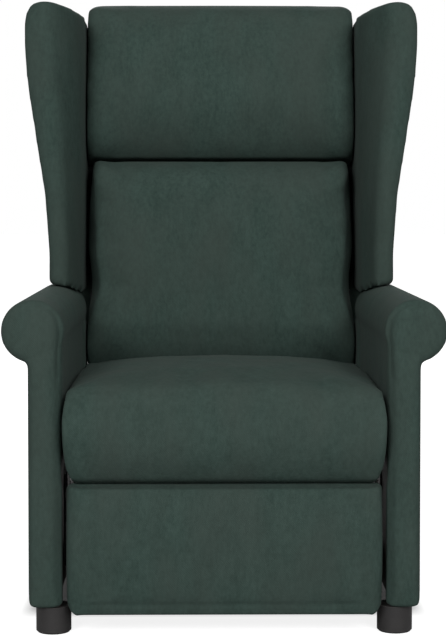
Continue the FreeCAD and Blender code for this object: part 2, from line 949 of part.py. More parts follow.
def footrest_links():
    """The four pairs of links that push the footrest out and turn it up."""
    radius = size.link_radius
    for name, side in SIDES:
        side_plate(
            f"{name}_footrest_link_a",
            side,
            link_a_layer,
            bars=((link_a_root, joint_ac, radius, radius),),
            holes=(link_a_root,),
            open_holes=(joint_ac,),
        )
        side_plate(
            f"{name}_footrest_link_b",
            side,
            link_b_layer,
            bars=((link_b_root, joint_bc, radius, radius), (joint_bc, joint_bd, radius, radius)),
            studs=(Stud(joint_bc, link_c_layer), Stud(joint_bd, link_d_layer)),
            holes=(link_b_root,),
        )
        side_plate(
            f"{name}_footrest_link_c",
            side,
            link_c_layer,
            bars=((joint_ac, joint_bc, radius, radius), (joint_bc, footrest_upper, radius, radius)),
            studs=(Stud(joint_ac, link_a_layer),),
            holes=(joint_bc, footrest_upper),
        )
        side_plate(
            f"{name}_footrest_link_d",
            side,
            link_d_layer,
            bars=((joint_bd, footrest_lower, radius, radius),),
            holes=(joint_bd,),
            open_holes=(footrest_lower,),
        )
    tube = new_body("footrest_cross_tube")
    share = size.cross_tube_share_along
    middle_y = link_b_root.y + (joint_bc.y - link_b_root.y) * share
    middle_z = link_b_root.z + (joint_bc.z - link_b_root.z) * share
    sketch = sketch_on(tube, "YZ_Plane", "footrest_cross_tube_ring", -link_b_layer)
    circle(sketch, middle_y, middle_z, size.cross_tube_radius)
    pad(tube, sketch, 2 * link_b_layer)


# Seat
def seat_frame():
    """Timber frame of the seat, the side rails outside the front and rear ones."""
    bottom = size.seat_rail_base
    top = bottom + size.seat_rail_height
    thickness = size.seat_rail_thickness
    for name, side in SIDES:
        side_rail(
            f"{name}_seat_rail",
            side,
            seat_frame_half - thickness,
            thickness,
            seat_frame_front,
            bottom,
            seat_frame_rear,
            top,
            size.seat_rail_round,
        )
    half = seat_frame_half - thickness
    fronts = {"front_seat_rail": seat_frame_front, "rear_seat_rail": seat_frame_rear - thickness}
    for label, front in fronts.items():
        cross_rail(label, half, front, bottom, front + thickness, top, size.seat_rail_round)


SPRING_RUNS = 11
SPRING_COUNT = 4
BEND_STEPS = 3
WIRE_SIDES = 6


def spring_route(middle_x, start_y, end_y):
    """Points of one zigzag wire: runs across, joined by half turns of short straight steps."""
    pitch = (end_y - start_y) / (SPRING_RUNS - 1)
    turn = pitch / 2
    reach = float(size.seat_spring_half_width) - turn
    height = float(spring_z)
    route = [FreeCAD.Vector(middle_x - reach, start_y, height)]
    heading = 1
    for run in range(SPRING_RUNS - 1):
        centre = FreeCAD.Vector(middle_x + heading * reach, start_y + (run + 0.5) * pitch, height)
        for step in range(BEND_STEPS + 1):
            angle = math.pi * (step / BEND_STEPS - 0.5)
            out = FreeCAD.Vector(heading * math.cos(angle), math.sin(angle), 0)
            route.append(centre + out * turn)
        heading = -heading
    route.append(FreeCAD.Vector(middle_x + heading * reach, end_y, height))
    return route


def wire_along(route, radius):
    """A faceted wire through the route, mitred at every corner."""
    rings = []
    for index, place in enumerate(route):
        before = (place - route[index - 1]).normalize() if index else None
        after = (route[index + 1] - place).normalize() if index + 1 < len(route) else None
        before = before or after
        after = after or before
        across = (before + after).normalize().cross(UP)
        stretch = 1 / math.sqrt((1 + before.dot(after)) / 2)
        corners = []
        for side in range(WIRE_SIDES):
            angle = 2 * math.pi * (side + 0.5) / WIRE_SIDES
            aside = across * (stretch * radius * math.cos(angle))
            corners.append(place + aside + UP * (radius * math.sin(angle)))
        rings.append(Part.makePolygon(corners + corners[:1]))
    return Part.makeLoft(rings, True, True)


def seat_springs():
    """Sinuous springs from the front seat rail to the rear one."""
    thickness = float(size.seat_rail_thickness)
    start_y = float(seat_frame_front) + thickness - float(size.seat_spring_end_inset)
    end_y = float(seat_frame_rear) - thickness + float(size.seat_spring_end_inset)
    pitch = float(size.seat_spring_pitch)
    radius = float(size.seat_spring_wire_radius)
    shapes = []
    for number in range(SPRING_COUNT):
        middle_x = (number - (SPRING_COUNT - 1) / 2) * pitch
        shapes.append(wire_along(spring_route(middle_x, start_y, end_y), radius))
    turn = (end_y - start_y) / (SPRING_RUNS - 1)
    gap = turn - 2 * radius
    print(f"seat springs: least gap between runs {gap:.2f} mm")
    new_feature("seat_springs", Part.makeCompound(shapes))


def seat_bracket(name, side):
    """Steel plate beside the seat frame: swing pivots, back hinge and footrest linkage."""
    level = hinge.z - size.seat_bracket_drop
    front = Pivot(link_b_root.y, level)
    rear = Pivot(rear_swing_head.y, level)
    neck = Pivot(rear_swing_head.y + size.seat_bracket_neck_reach, level + size.seat_bracket_neck_rise)
    wide = size.seat_bracket_radius
    lobe = size.seat_bracket_lobe_radius
    neck_radius = size.seat_bracket_neck_radius
    side_plate(
        f"{name}_seat_bracket",
        side,
        seat_layer,
        bars=(
            (front, rear, wide, wide),
            (rear, neck, wide, neck_radius),
            (neck, hinge, neck_radius, size.hinge_lobe_radius),
            (front, link_b_root, wide, lobe),
            (link_b_root, link_a_root, lobe, lobe),
        ),
        studs=(
            Stud(front_swing_head, swing_layer),
            Stud(rear_swing_head, swing_layer),
            Stud(hinge, back_layer),
            Stud(link_a_root, link_a_layer),
            Stud(link_b_root, link_b_layer),
        ),
    )


def seat_motor_places():
    spread = float(size.seat_motor_spread)
    y = float(hinge_y - size.seat_motor_forward)
    return [point(side * spread, y, seat_underside) for _, side in SIDES]


def lumbar_motor_places():
    """Centres of the motors' rear faces, in the back's own frame."""
    spread = float(size.lumbar_motor_spread)
    rear = float(size.back_cushion_rear)
    return [point(side * spread, rear, size.lumbar_motor_height) for _, side in SIDES]


SEAT_TOP_DRAW_SHARE = 1.6
SEAT_END_SHARE = 0.5
SEAT_REAR_SINK_SHARE = 0.5
SHOULDER_FALL_SHARE = 0.25


def seat_taper(x):
    """How far the foot of the seat's front drop rises where its sides draw in."""
    past = abs(x) - float(seat_half_width - size.seat_taper_width)
    return max(past, 0.0) * float(size.seat_taper_height / size.seat_taper_width)


def seat_profile(x, inset):
    """Side view of the seat cushion at x: crown, rounded front and the drop in front of the frame."""
    across = x / float(seat_half_width)
    narrowing = 1 - SEAT_END_SHARE * inset / float(size.seat_edge_round)
    shoulder = float(size.seat_front_shoulder) * narrowing
    drop_round = float(size.seat_drop_round) * narrowing
    bulge = float(size.seat_front_bulge)
    sink = float(size.seat_crown_rise) * across * across + SEAT_TOP_DRAW_SHARE * inset
    crown = float(size.seat_crown_height) - sink
    front = float(front_y) + inset + bulge
    rear_foot_y = float(hinge_y - size.seat_rear_clearance) - inset
    rear_top_y = rear_foot_y + float(size.seat_rear_slant)
    underside = float(seat_underside) + inset
    drop_rear = float(front_y + size.seat_drop_depth)
    drop_base = float(size.seat_drop_base) + inset + seat_taper(x)
    rear_foot = point(x, rear_foot_y, underside)
    rear_top = point(x, rear_top_y, float(size.seat_rear_height) - sink * SEAT_REAR_SINK_SHARE)
    top_middle = point(x, (rear_top_y + front) / 2, crown)
    brow = point(x, front, crown - shoulder * SHOULDER_FALL_SHARE)
    shoulder_rear = brow - FRONT * (2 * shoulder)
    shoulder_front = brow - UP * (2 * shoulder)
    drop_corner = point(x, front, drop_base)
    drop_front = drop_corner + UP * drop_round
    drop_foot = drop_corner - FRONT * drop_round
    drop_back = point(x, drop_rear, drop_base)
    inner = point(x, drop_rear, underside)
    return [
        line_edge(inner, rear_foot),
        line_edge(rear_foot, rear_top),
        Part.Arc(rear_top, top_middle, shoulder_rear).toShape(),
        corner_arc(shoulder_rear, brow, shoulder_front),
        bulging_edge(shoulder_front, drop_front, FRONT, bulge),
        corner_arc(drop_front, drop_corner, drop_foot),
        line_edge(drop_foot, drop_back),
        line_edge(drop_back, inner),
    ]


def seat_cushion():
    shape = loft_across(seat_profile, seat_half_width, size.seat_edge_round)
    gap = float(size.motor_pocket_gap)
    radius = float(size.motor_radius) + gap
    depth = float(size.motor_length) + gap + float(size.overrun)
    for place in seat_motor_places():
        start = place - UP * float(size.overrun)
        shape = shape.cut(Part.makeCylinder(radius, depth, start, UP))
    new_feature("seat_cushion", shape)


# Back
def back_frame():
    """Timber frame of the back: two stiles, three rails, webbing and the rear cover."""
    front = size.back_frame_front
    for name, side in SIDES:
        stile = side_rail(
            f"{name}_back_stile",
            side,
            stile_outer_x - size.stile_width,
            size.stile_width,
            front,
            size.stile_foot,
            back_frame_rear,
            size.stile_top,
            size.seat_rail_round,
        )
        tilt_with_back(stile)
    half = stile_outer_x - size.stile_width
    feet_of_rails = {
        "top_back_rail": size.stile_top - size.top_rail_drop - size.back_rail_height,
        "middle_back_rail": size.middle_rail_base,
        "bottom_back_rail": size.bottom_rail_base,
    }
    for label, foot in feet_of_rails.items():
        top = foot + size.back_rail_height
        tilt_with_back(cross_rail(label, half, front, foot, back_frame_rear, top, size.seat_rail_round))
    cover = new_body("back_cover")
    sketch = sketch_on(cover, "XZ_Plane", "back_cover_outline", -back_rear)
    wide = back_half_width + size.wing_rear_reach
    closed_outline(
        sketch,
        (
            (-back_half_width, size.back_cover_foot),
            (back_half_width, size.back_cover_foot),
            (back_half_width, size.back_cover_wide_foot),
            (wide, size.back_cover_wide_foot),
            (wide, size.back_cover_top),
            (-wide, size.back_cover_top),
            (-wide, size.back_cover_wide_foot),
            (-back_half_width, size.back_cover_wide_foot),
        ),
    )
    pad(cover, sketch, size.back_cover_thickness)
    rear = float(back_rear)
    round_edges(cover, size.back_cover_round, lambda edge: abs(edge.CenterOfMass.y - rear) < NEAR)
    tilt_with_back(cover)


WEB_COLUMNS = 5
WEB_ROWS = 7


def back_webbing():
    """Crossed elastic bands over the front of the frame, as one sheet with windows."""
    body = new_body("back_webbing")
    half = stile_outer_x - size.webbing_margin
    rear = size.back_cushion_rear + size.webbing_thickness
    sheet_sketch = sketch_on(body, "XZ_Plane", "back_webbing_sheet", -rear)
    rectangle(sheet_sketch, -half, size.webbing_foot, half, size.webbing_top)
    pad(body, sheet_sketch, size.webbing_thickness)
    column_pitch = (2 * half - size.webbing_band) / WEB_COLUMNS
    row_pitch = (size.webbing_top - size.webbing_foot - size.webbing_band) / WEB_ROWS
    windows = sketch_on(body, "XZ_Plane", "back_webbing_window", -rear)
    bottom = size.webbing_foot + size.webbing_band
    top = bottom + row_pitch - size.webbing_band
    for column in range(WEB_COLUMNS):
        left = column * column_pitch + size.webbing_band - half
        rectangle(windows, left, bottom, left + column_pitch - size.webbing_band, top)
    first_row = pocket(body, windows, size.webbing_thickness, towards_normal=True)
    rows = body.newObject("PartDesign::LinearPattern", "back_webbing_rows")
    rows.Originals = [first_row]
    rows.Direction = (windows, ["V_Axis"])
    rows.setExpression("Length", (row_pitch * (WEB_ROWS - 1)).text)
    rows.Occurrences = WEB_ROWS
    body.Tip = rows
    tilt_with_back(body)


def back_bracket(name, side):
    """Steel plate on the stile: hinge eye, and the stud that the drive link pushes."""
    column = size.back_frame_front + size.back_bracket_radius
    foot = Pivot(column, ZERO)
    top = Pivot(column, size.back_bracket_top)
    eye = Pivot(ZERO, ZERO)
    arm = Pivot(size.drive_arm_rearward, -size.drive_arm_drop)
    body = side_plate(
        f"{name}_back_bracket",
        side,
        back_layer,
        bars=(
            (foot, top, size.back_bracket_radius, size.back_bracket_radius),
            (eye, foot, size.hinge_lobe_radius, size.back_bracket_radius),
            (eye, arm, size.hinge_lobe_radius, size.drive_link_end_radius),
        ),
        studs=(Stud(arm, seat_layer),),
        holes=(eye,),
    )
    tilt_with_back(body)


PUFF_SHARE = 0.017
TUCK_RISE_SHARE = 0.03
SHOULDER_RISE_SHARE = 0.17
SHOULDER_TUCK_SHARE = 0.12
EDGE_TUCK_SHARE = 0.42
EDGE_RISE_SHARE = 0.07


def back_cushion_profile(foot, top):
    """A profile function for a back cushion between two heights of the back's frame."""

    def profile(x, inset):
        puff = PUFF_SHARE * float(top - foot)
        rear = float(size.back_cushion_rear)
        front = rear - float(size.back_cushion_depth) + inset
        tuck = float(size.back_cushion_tuck)
        low = float(foot) + inset + puff
        high = float(top) - inset - puff
        height = high - low
        middle = point(x, front, (low + high) / 2)

        def face_point(tuck_share, rise_share, upper):
            rise = rise_share * height
            return point(x, front + tuck_share * tuck, high - rise if upper else low + rise)

        def roll(upper):
            rim = face_point(1, TUCK_RISE_SHARE, upper)
            edge = face_point(EDGE_TUCK_SHARE, EDGE_RISE_SHARE, upper)
            shoulder = face_point(SHOULDER_TUCK_SHARE, SHOULDER_RISE_SHARE, upper)
            return rim, edge, shoulder

        top_rim, top_edge, top_shoulder = roll(True)
        low_rim, low_edge, low_shoulder = roll(False)
        rear_foot = point(x, rear, low)
        rear_top = point(x, rear, high)
        return [
            line_edge(rear_foot, rear_top),
            bulging_edge(rear_top, top_rim, UP, puff),
            Part.Arc(top_rim, top_edge, top_shoulder).toShape(),
            Part.Arc(top_shoulder, middle, low_shoulder).toShape(),
            Part.Arc(low_shoulder, low_edge, low_rim).toShape(),
            bulging_edge(low_rim, rear_foot, -UP, puff),
        ]

    return profile


def back_cushions():
    lumbar_profile = back_cushion_profile(size.lumbar_foot, size.lumbar_top)
    lumbar = loft_across(lumbar_profile, back_half_width, size.back_edge_round)
    gap = float(size.motor_pocket_gap)
    radius = float(size.motor_radius) + gap
    depth = float(size.motor_length) + gap + float(size.overrun)
    for place in lumbar_motor_places():
        start = place - FRONT * float(size.overrun)
        lumbar = lumbar.cut(Part.makeCylinder(radius, depth, start, FRONT))
    tilt_with_back(new_feature("lumbar_cushion", lumbar))
    head_profile = back_cushion_profile(size.head_foot, size.head_top)
    head_half_width = back_half_width + size.head_side_reach
    head = loft_across(head_profile, head_half_width, size.head_edge_round)
    tilt_with_back(new_feature("head_cushion", head))


WING_HEIGHT_SHARES = (0.0, 0.02, 0.15, 0.35, 0.54, 0.72, 0.86, 0.93, 0.965, 0.988, 1.0)
WING_FLARE_START_SHARE = 0.15
WING_FLARE_END_SHARE = 0.9
WING_END_SHARE = 0.125
WING_TOP_ROUND_SHARE = 0.5


def smooth_share(share):
    """Rises from 0 to 1 with level ends."""
    clipped = min(1.0, max(0.0, share))
    return clipped * clipped * (3 - 2 * clipped)


def between(start, end, share):
    """The number at that share of the way from one size to another."""
    return float(start) + share * float(end - start)


def wing_section(side, share, inset, outer_inset):
    """One nearly level section of a wing, its rear lower than its front towards the top."""
    flare_span_share = WING_FLARE_END_SHARE - WING_FLARE_START_SHARE
    flare = smooth_share((share - WING_FLARE_START_SHARE) / flare_span_share)
    height = between(size.arm_height - size.wing_foot_drop, size.wing_height, share)
    rear_height = height - share * float(size.wing_rear_drop)
    reach = between(size.wing_foot_reach, size.wing_top_reach, flare)
    widest = float(back_half_width) + reach
    outer = widest - inset - outer_inset
    inner = widest - between(size.wing_foot_thickness, size.wing_top_thickness, flare) + inset
    cheek_x = float(back_half_width + size.wing_cushion_gap)
    front = float(front_y) + between(size.wing_foot_set_back, size.wing_top_set_back, share) + inset
    along_back = (rear_height - float(hinge.z) + float(back_frame_rear * tilt_sine)) / float(tilt_cosine)
    rear = float(hinge_y) + float(back_frame_rear * tilt_cosine) + along_back * float(tilt_sine)
    cheek_y = front + float(size.wing_cheek_depth)
    slope = (height - rear_height) / (rear - front)

    def at(x, y):
        return point(side * x, y, height - (y - front) * slope)

    rear_outer = float(back_half_width + size.wing_rear_reach) - inset
    front_inner = at(inner, front)
    front_outer = at(outer, front)
    cheek = at(cheek_x, cheek_y)
    cheek_bulge = between(size.wing_foot_cheek_bulge, size.wing_top_cheek_bulge, flare)
    cheek_middle = at((inner + cheek_x) / 2 - cheek_bulge, (front + cheek_y) / 2)
    rear_inner = at(cheek_x, rear)
    rear_corner = at(rear_outer, rear)
    outer_middle = at((outer + rear_outer) / 2 + float(size.wing_outer_bulge), (front + rear) / 2)
    front_middle = at((inner + outer) / 2, front - float(size.wing_front_bulge))
    return [
        Part.Arc(front_inner, cheek_middle, cheek).toShape(),
        line_edge(cheek, rear_inner),
        line_edge(rear_inner, rear_corner),
        Part.Arc(rear_corner, outer_middle, front_outer).toShape(),
        Part.Arc(front_outer, front_middle, front_inner).toShape(),
    ]


def wing_insets():
    """Each height share with the insets that round the wing's ends and its top outer corner."""
    span = float(size.wing_height - size.arm_height + size.wing_foot_drop)
    edge = float(size.wing_edge_round)
    top_round = float(size.wing_top_round)
    for share in WING_HEIGHT_SHARES:
        end_gap = edge * WING_END_SHARE
        inset = pillow_inset(min(share, 1 - share) * span + end_gap, edge)
        outer_inset = WING_TOP_ROUND_SHARE * pillow_inset((1 - share) * span + end_gap, top_round)
        yield share, inset, outer_inset


def wing(name, side):
    """Padded wing beside the head: its foot follows the arm roll, a notch holds its rail."""
    wires = [Part.Wire(wing_section(side, *place)) for place in wing_insets()]
    solid = Part.makeLoft(wires, True, True)
    rail_x = float(stile_outer_x)
    notch_width = float(size.wing_rail_width)
    start = rail_x if side > 0 else -(rail_x + notch_width)
    notch = Part.makeBox(
        notch_width,
        float(size.stile_thickness + size.overrun),
        float(size.wing_rail_top - size.wing_rail_foot),
        point(start, size.back_frame_front, size.wing_rail_foot),
    )
    notch.Placement = back_placement().multiply(notch.Placement)
    roll_space = Part.makeCylinder(
        float(size.arm_roll_radius + size.wing_roll_gap),
        float(chair_depth),
        point(side * roll_x, front_y, roll_z),
        -FRONT,
    )
    new_feature(f"{name}_wing", solid.cut([notch, roll_space]))


def back_placement():
    return FreeCAD.Placement(
        FreeCAD.Vector(0, float(hinge.y), float(hinge.z)),
        FreeCAD.Rotation(FreeCAD.Vector(-1, 0, 0), float(size.back_tilt)),
    )


def wing_rail(name, side):
    """Upright timber that carries a wing on the side of its stile."""
    rail = side_rail(
        f"{name}_wing_rail",
        side,
        stile_outer_x,
        size.wing_rail_width,
        size.back_frame_front,
        size.wing_rail_foot,
        back_frame_rear,
        size.wing_rail_top,
        size.seat_rail_round,
    )
    tilt_with_back(rail)


# Footrest
def footrest_board():
    """Plywood panel behind the footrest's padding."""
    margin = size.footrest_board_margin
    half = footrest_half_width - margin
    cross = cross_rail(
        "footrest_board",
        half,
        footrest_board_y,
        size.footrest_foot + margin,
        footrest_rear_y,
        footrest_top - margin,
        size.seat_rail_round,
    )
    return cross


FOOTREST_FOOT_DRAW_SHARE = 2
FOOTREST_TOP_DRAW_SHARE = 0.5


def footrest_profile(x, inset):
    """Side view of the footrest's padding at x, with a full front face."""
    rear = float(footrest_board_y)
    bulge = float(size.footrest_front_bulge)
    front = float(footrest_front_y) + bulge + inset
    low = float(size.footrest_foot) + inset * FOOTREST_FOOT_DRAW_SHARE
    high = float(footrest_top) - inset * FOOTREST_TOP_DRAW_SHARE
    corner = float(size.footrest_corner_round)
    rear_foot = point(x, rear, low)
    rear_top = point(x, rear, high)
    upper_corner = point(x, front, high)
    lower_corner = point(x, front, low)
    top = upper_corner - FRONT * corner
    upper = upper_corner - UP * corner
    lower = lower_corner + UP * corner
    foot = lower_corner - FRONT * corner
    return [
        line_edge(rear_foot, rear_top),
        line_edge(rear_top, top),
        corner_arc(top, upper_corner, upper),
        bulging_edge(upper, lower, FRONT, bulge),
        corner_arc(lower, lower_corner, foot),
        line_edge(foot, rear_foot),
    ]


def footrest_pad():
    shape = loft_across(footrest_profile, footrest_half_width, size.footrest_edge_round)
    new_feature("footrest_pad", shape)


def footrest_bracket(name, side):
    """Angle bracket behind the footrest board with the two studs of its links."""
    label = f"{name}_footrest_bracket"
    radius = size.footrest_bracket_radius
    body = side_plate(
        label,
        side,
        link_b_layer,
        bars=((footrest_upper, footrest_lower, radius, radius),),
        studs=(Stud(footrest_upper, link_c_layer), Stud(footrest_lower, link_d_layer)),
    )
    start = side_start(side, link_b_layer, size.plate_thickness)
    web = sketch_on(body, "YZ_Plane", f"{label}_web", start)
    foot = size.footrest_bracket_foot
    rectangle(web, footrest_rear_y, foot, footrest_upper.y, foot + size.footrest_bracket_height)
    pad(body, web, size.plate_thickness)
    flange_inner = link_b_layer + size.plate_thickness - size.footrest_flange_width
    flange = sketch_on(
        body, "YZ_Plane", f"{label}_flange", side_start(side, flange_inner, size.footrest_flange_width)
    )
    rectangle(
        flange,
        footrest_rear_y,
        foot,
        footrest_rear_y + size.plate_thickness,
        foot + size.footrest_bracket_height,
    )
    pad(body, flange, size.footrest_flange_width)


# Massage motors
def motor_case(start, direction):
    """A closed round can with a blind bearing in each end."""
    radius = float(size.motor_radius)
    length = float(size.motor_length)
    wall = float(size.motor_wall)
    can = Part.makeCylinder(radius, length, start, direction)
    cavity = Part.makeCylinder(
        float(motor_cavity_radius), float(motor_cavity_length), start + direction * wall, direction
    )
    bearing_depth = float(size.rotor_bearing_depth)
    bearing = Part.makeCylinder(
        float(size.rotor_shaft_radius + size.rotor_clearance),
        float(motor_cavity_length) + 2 * bearing_depth,
        start + direction * (wall - bearing_depth),
        direction,
    )
    return can.cut(cavity.fuse(bearing))


def motor_rotor(start, direction, heavy_side):
    """A shaft with a half disc, whose weight off the axis makes the vibration."""
    wall = float(size.motor_wall)
    inset = wall - float(size.rotor_bearing_depth) + float(size.axial_clearance)
    shaft = Part.makeCylinder(
        float(size.rotor_shaft_radius), float(rotor_shaft_length), start + direction * inset, direction
    )
    middle = start + direction * (float(size.motor_length - size.rotor_length) / 2)
    disc = Part.makeCylinder(float(size.rotor_radius), float(size.rotor_length), middle, direction, 180)
    facing = FreeCAD.Rotation(direction, heavy_side)
    disc.rotate(middle, facing.Axis, math.degrees(facing.Angle))
    return shaft.fuse(disc).removeSplitter()


def motors():
    """Two motors in the lumbar cushion and two under the seat."""
    lumbar = [motor_case(place, FRONT) for place in lumbar_motor_places()]
    tilt_with_back(new_feature("back_motor_cases", Part.makeCompound(lumbar)))
    under_seat = [motor_case(place, UP) for place in seat_motor_places()]
    new_feature("seat_motor_cases", Part.makeCompound(under_seat))
    for (name, _), place in zip(SIDES, lumbar_motor_places()):
        tilt_with_back(new_feature(f"{name}_lumbar_rotor", motor_rotor(place, FRONT, 0)))
    for (name, _), place in zip(SIDES, seat_motor_places()):
        new_feature(f"{name}_seat_rotor", motor_rotor(place, UP, 0))


# The whole chair
for side_name, side_sign in SIDES:
    arm_board(side_name, side_sign)
    arm_pad(side_name, side_sign)
    base_plate(side_name, side_sign)
    seat_bracket(side_name, side_sign)
    back_bracket(side_name, side_sign)
    wing_rail(side_name, side_sign)
    wing(side_name, side_sign)
    footrest_bracket(side_name, side_sign)

feet("front_feet", arm_front_y + size.foot_front_inset)
feet("rear_feet", arm_tail_y - size.foot_rear_inset)
base_rails()
control_box()
swing_links()
footrest_links()
seat_frame()
seat_springs()
seat_cushion()
back_frame()
back_webbing()
back_cushions()
footrest_board()
footrest_pad()
motors()

doc.recompute()
for item in doc.Objects:
    if "Invalid" in item.State or "Error" in item.State:
        raise RuntimeError(f"{item.Name} did not build: {item.State}")
for item in sub_parts:
    if item.Shape.isNull() or not item.Shape.isValid():
        raise RuntimeError(f"{item.Label} has no valid shape")

bounds = FreeCAD.BoundBox()
for item in sub_parts:
    bounds.add(item.Shape.BoundBox)
    item.Shape.exportStep(f"parts/{item.Label}.step")
print(f"{len(sub_parts)} sub-parts, {bounds.XLength:.1f} x {bounds.YLength:.1f} x {bounds.ZLength:.1f} mm")
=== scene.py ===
"""Wing-back reclining armchair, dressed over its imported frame.

The frame gives the timber, the steel linkage, the motors and the feet. The
upholstery is made here: every pad is cut from its solid, swelled like stuffed
cloth where it is a cushion, and sewn along its seams. Lengths are in metres.
"""

import json
import logging
import math
from dataclasses import dataclass, replace
from enum import Enum

import bmesh
import bpy
import numpy as np
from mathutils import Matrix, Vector
from mathutils.bvhtree import BVHTree


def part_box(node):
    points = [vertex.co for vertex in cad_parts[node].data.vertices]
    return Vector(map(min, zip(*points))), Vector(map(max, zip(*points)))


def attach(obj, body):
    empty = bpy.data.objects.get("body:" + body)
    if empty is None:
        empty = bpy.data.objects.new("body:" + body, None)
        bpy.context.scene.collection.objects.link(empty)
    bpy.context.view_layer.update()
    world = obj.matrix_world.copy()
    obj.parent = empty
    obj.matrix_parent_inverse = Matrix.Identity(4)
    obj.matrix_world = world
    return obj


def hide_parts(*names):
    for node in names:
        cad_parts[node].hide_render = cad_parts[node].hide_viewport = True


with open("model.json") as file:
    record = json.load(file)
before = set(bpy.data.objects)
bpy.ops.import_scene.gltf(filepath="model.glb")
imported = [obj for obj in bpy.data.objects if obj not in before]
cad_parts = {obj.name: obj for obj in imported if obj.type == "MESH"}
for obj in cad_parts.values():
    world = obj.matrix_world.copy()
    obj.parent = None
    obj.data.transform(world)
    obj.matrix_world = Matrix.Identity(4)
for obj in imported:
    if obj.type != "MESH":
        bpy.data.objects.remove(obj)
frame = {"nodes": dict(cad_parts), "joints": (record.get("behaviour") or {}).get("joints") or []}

log = logging.getLogger("armchair")
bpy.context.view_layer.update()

RGB = tuple[float, float, float]
Place = tuple[float, float, float]
Ends = tuple[float, float]
Mesh = bpy.types.Object


class Side(Enum):
    """The two sides of the chair, seen from in front of it."""

    LEFT = -1
    RIGHT = 1

    @property
    def word(self) -> str:
        """The side's name as the nodes have it."""
        return self.name.lower()


def hinge_place() -> Vector:
    """The point on the back's hinge line, from the frame's own joint.

    Returns:
        The hinge in metres, on the middle plane.
    """
    joint = next(item for item in frame["joints"] if item["name"] == "recline")
    return Vector((0, joint["pos_m"][1], joint["pos_m"][2]))


@dataclass(frozen=True)
class BackFrame:
    """The back's own axes: across the chair, square to the back, and up along it."""

    hinge: Vector
    tilt: float = math.radians(12)

    @property
    def rearward(self) -> Vector:
        """Unit vector square to the back, away from the sitter."""
        return Vector((0, math.cos(self.tilt), -math.sin(self.tilt)))

    @property
    def upward(self) -> Vector:
        """Unit vector up along the back."""
        return Vector((0, math.sin(self.tilt), math.cos(self.tilt)))

    def depths(self, points: np.ndarray) -> np.ndarray:
        """Distances of points behind the hinge, square to the back."""
        return (points - np.array(self.hinge)) @ np.array(self.rearward)

    def heights(self, points: np.ndarray) -> np.ndarray:
        """Distances of points above the hinge, along the back."""
        return (points - np.array(self.hinge)) @ np.array(self.upward)


# Node trees
def linear(colour: RGB) -> tuple[float, float, float, float]:
    """A colour as it looks on a screen, turned into the linear values of a shader.

    Args:
        colour: Red, green and blue from 0 to 255.

    Returns:
        Linear red, green, blue and a full alpha.
    """
    red, green, blue = [
        value / 12.92 if value <= 0.04045 else ((value + 0.055) / 1.055) ** 2.4
        for value in (part / 255 for part in colour)
    ]
    return (red, green, blue, 1.0)


class Tree:
    """A short hand for adding and joining the nodes of one tree."""

    def __init__(self, tree: bpy.types.NodeTree) -> None:
        """Keep the tree that the nodes go into."""
        self.tree = tree

    def add(self, kind: str, **values: object) -> bpy.types.Node:
        """Add a node.

        Args:
            kind: The node's type name.
            **values: Properties of the node.

        Returns:
            The new node.
        """
        node = self.tree.nodes.new(kind)
        for name, value in values.items():
            setattr(node, name, value)
        return node

    def join(self, source: bpy.types.NodeSocket, target: bpy.types.NodeSocket) -> None:
        """Join an output to an input."""
        self.tree.links.new(source, target)

    def feed(self, target: bpy.types.NodeSocket, value: object) -> None:
        """Join a socket, or set a number, vector or colour, on an input."""
        if isinstance(value, bpy.types.NodeSocket):
            self.join(value, target)
        else:
            target.default_value = value

    def math(
        self, operation: str, first: object, second: object = 0.0, third: object = 0.0
    ) -> bpy.types.NodeSocket:
        """A Math node's result for up to three inputs."""
        node = self.add("ShaderNodeMath", operation=operation)
        for index, value in enumerate((first, second, third)):
            self.feed(node.inputs[index], value)
        return node.outputs[0]

    def vector(
        self, operation: str, first: object, second: object, result: str = "Vector"
    ) -> bpy.types.NodeSocket:
        """A Vector Math node's result for two vectors."""
        node = self.add("ShaderNodeVectorMath", operation=operation)
        self.feed(node.inputs[0], first)
        self.feed(node.inputs[1], second)
        return node.outputs[result]

    def grown(self, vector: object, factor: object) -> bpy.types.NodeSocket:
        """A vector times a number."""
        node = self.add("ShaderNodeVectorMath", operation="SCALE")
        self.feed(node.inputs[0], vector)
        self.feed(node.inputs["Scale"], factor)
        return node.outputs[0]

    def parts(self, vector: object) -> list[bpy.types.NodeSocket]:
        """The x, y and z of a vector."""
        node = self.add("ShaderNodeSeparateXYZ")
        self.feed(node.inputs[0], vector)
        return [node.outputs[axis] for axis in range(3)]

    def surface(self, kind: str = "Object") -> bpy.types.NodeSocket:
        """The place, or with "Normal" the direction, of the surface in its object's axes."""
        return self.add("ShaderNodeTexCoord").outputs[kind]

    def spread(self, value: object, low: float, high: float) -> bpy.types.NodeSocket:
        """A value mapped so that low becomes 0 and high becomes 1, held at both ends."""
        node = self.add("ShaderNodeMapRange")
        self.feed(node.inputs["Value"], value)
        node.inputs["From Min"].default_value = low
        node.inputs["From Max"].default_value = high
        return node.outputs["Result"]

    def blend(self, share: object, first: object, second: object) -> bpy.types.NodeSocket:
        """A colour between two, by share."""
        node = self.add("ShaderNodeMix", data_type="RGBA")
        self.feed(node.inputs[0], share)
        self.feed(node.inputs[6], first)
        self.feed(node.inputs[7], second)
        return node.outputs[2]

    def noise(
        self, vector: object, scale: object, detail: float = 2.0, rough: float = 0.5
    ) -> bpy.types.NodeSocket:
        """A noise value at a vector."""
        node = self.add("ShaderNodeTexNoise")
        self.feed(node.inputs["Vector"], vector)
        self.feed(node.inputs["Scale"], scale)
        node.inputs["Detail"].default_value = detail
        node.inputs["Roughness"].default_value = rough
        return node.outputs[0]


class GroupKind(Enum):
    """The shared effects, each one node group."""

    WEAVE = "Weave"
    MOTTLE = "Mottle"
    GRAIN = "Grain"
    WEAR = "Edge wear"
    DUST = "Dust"


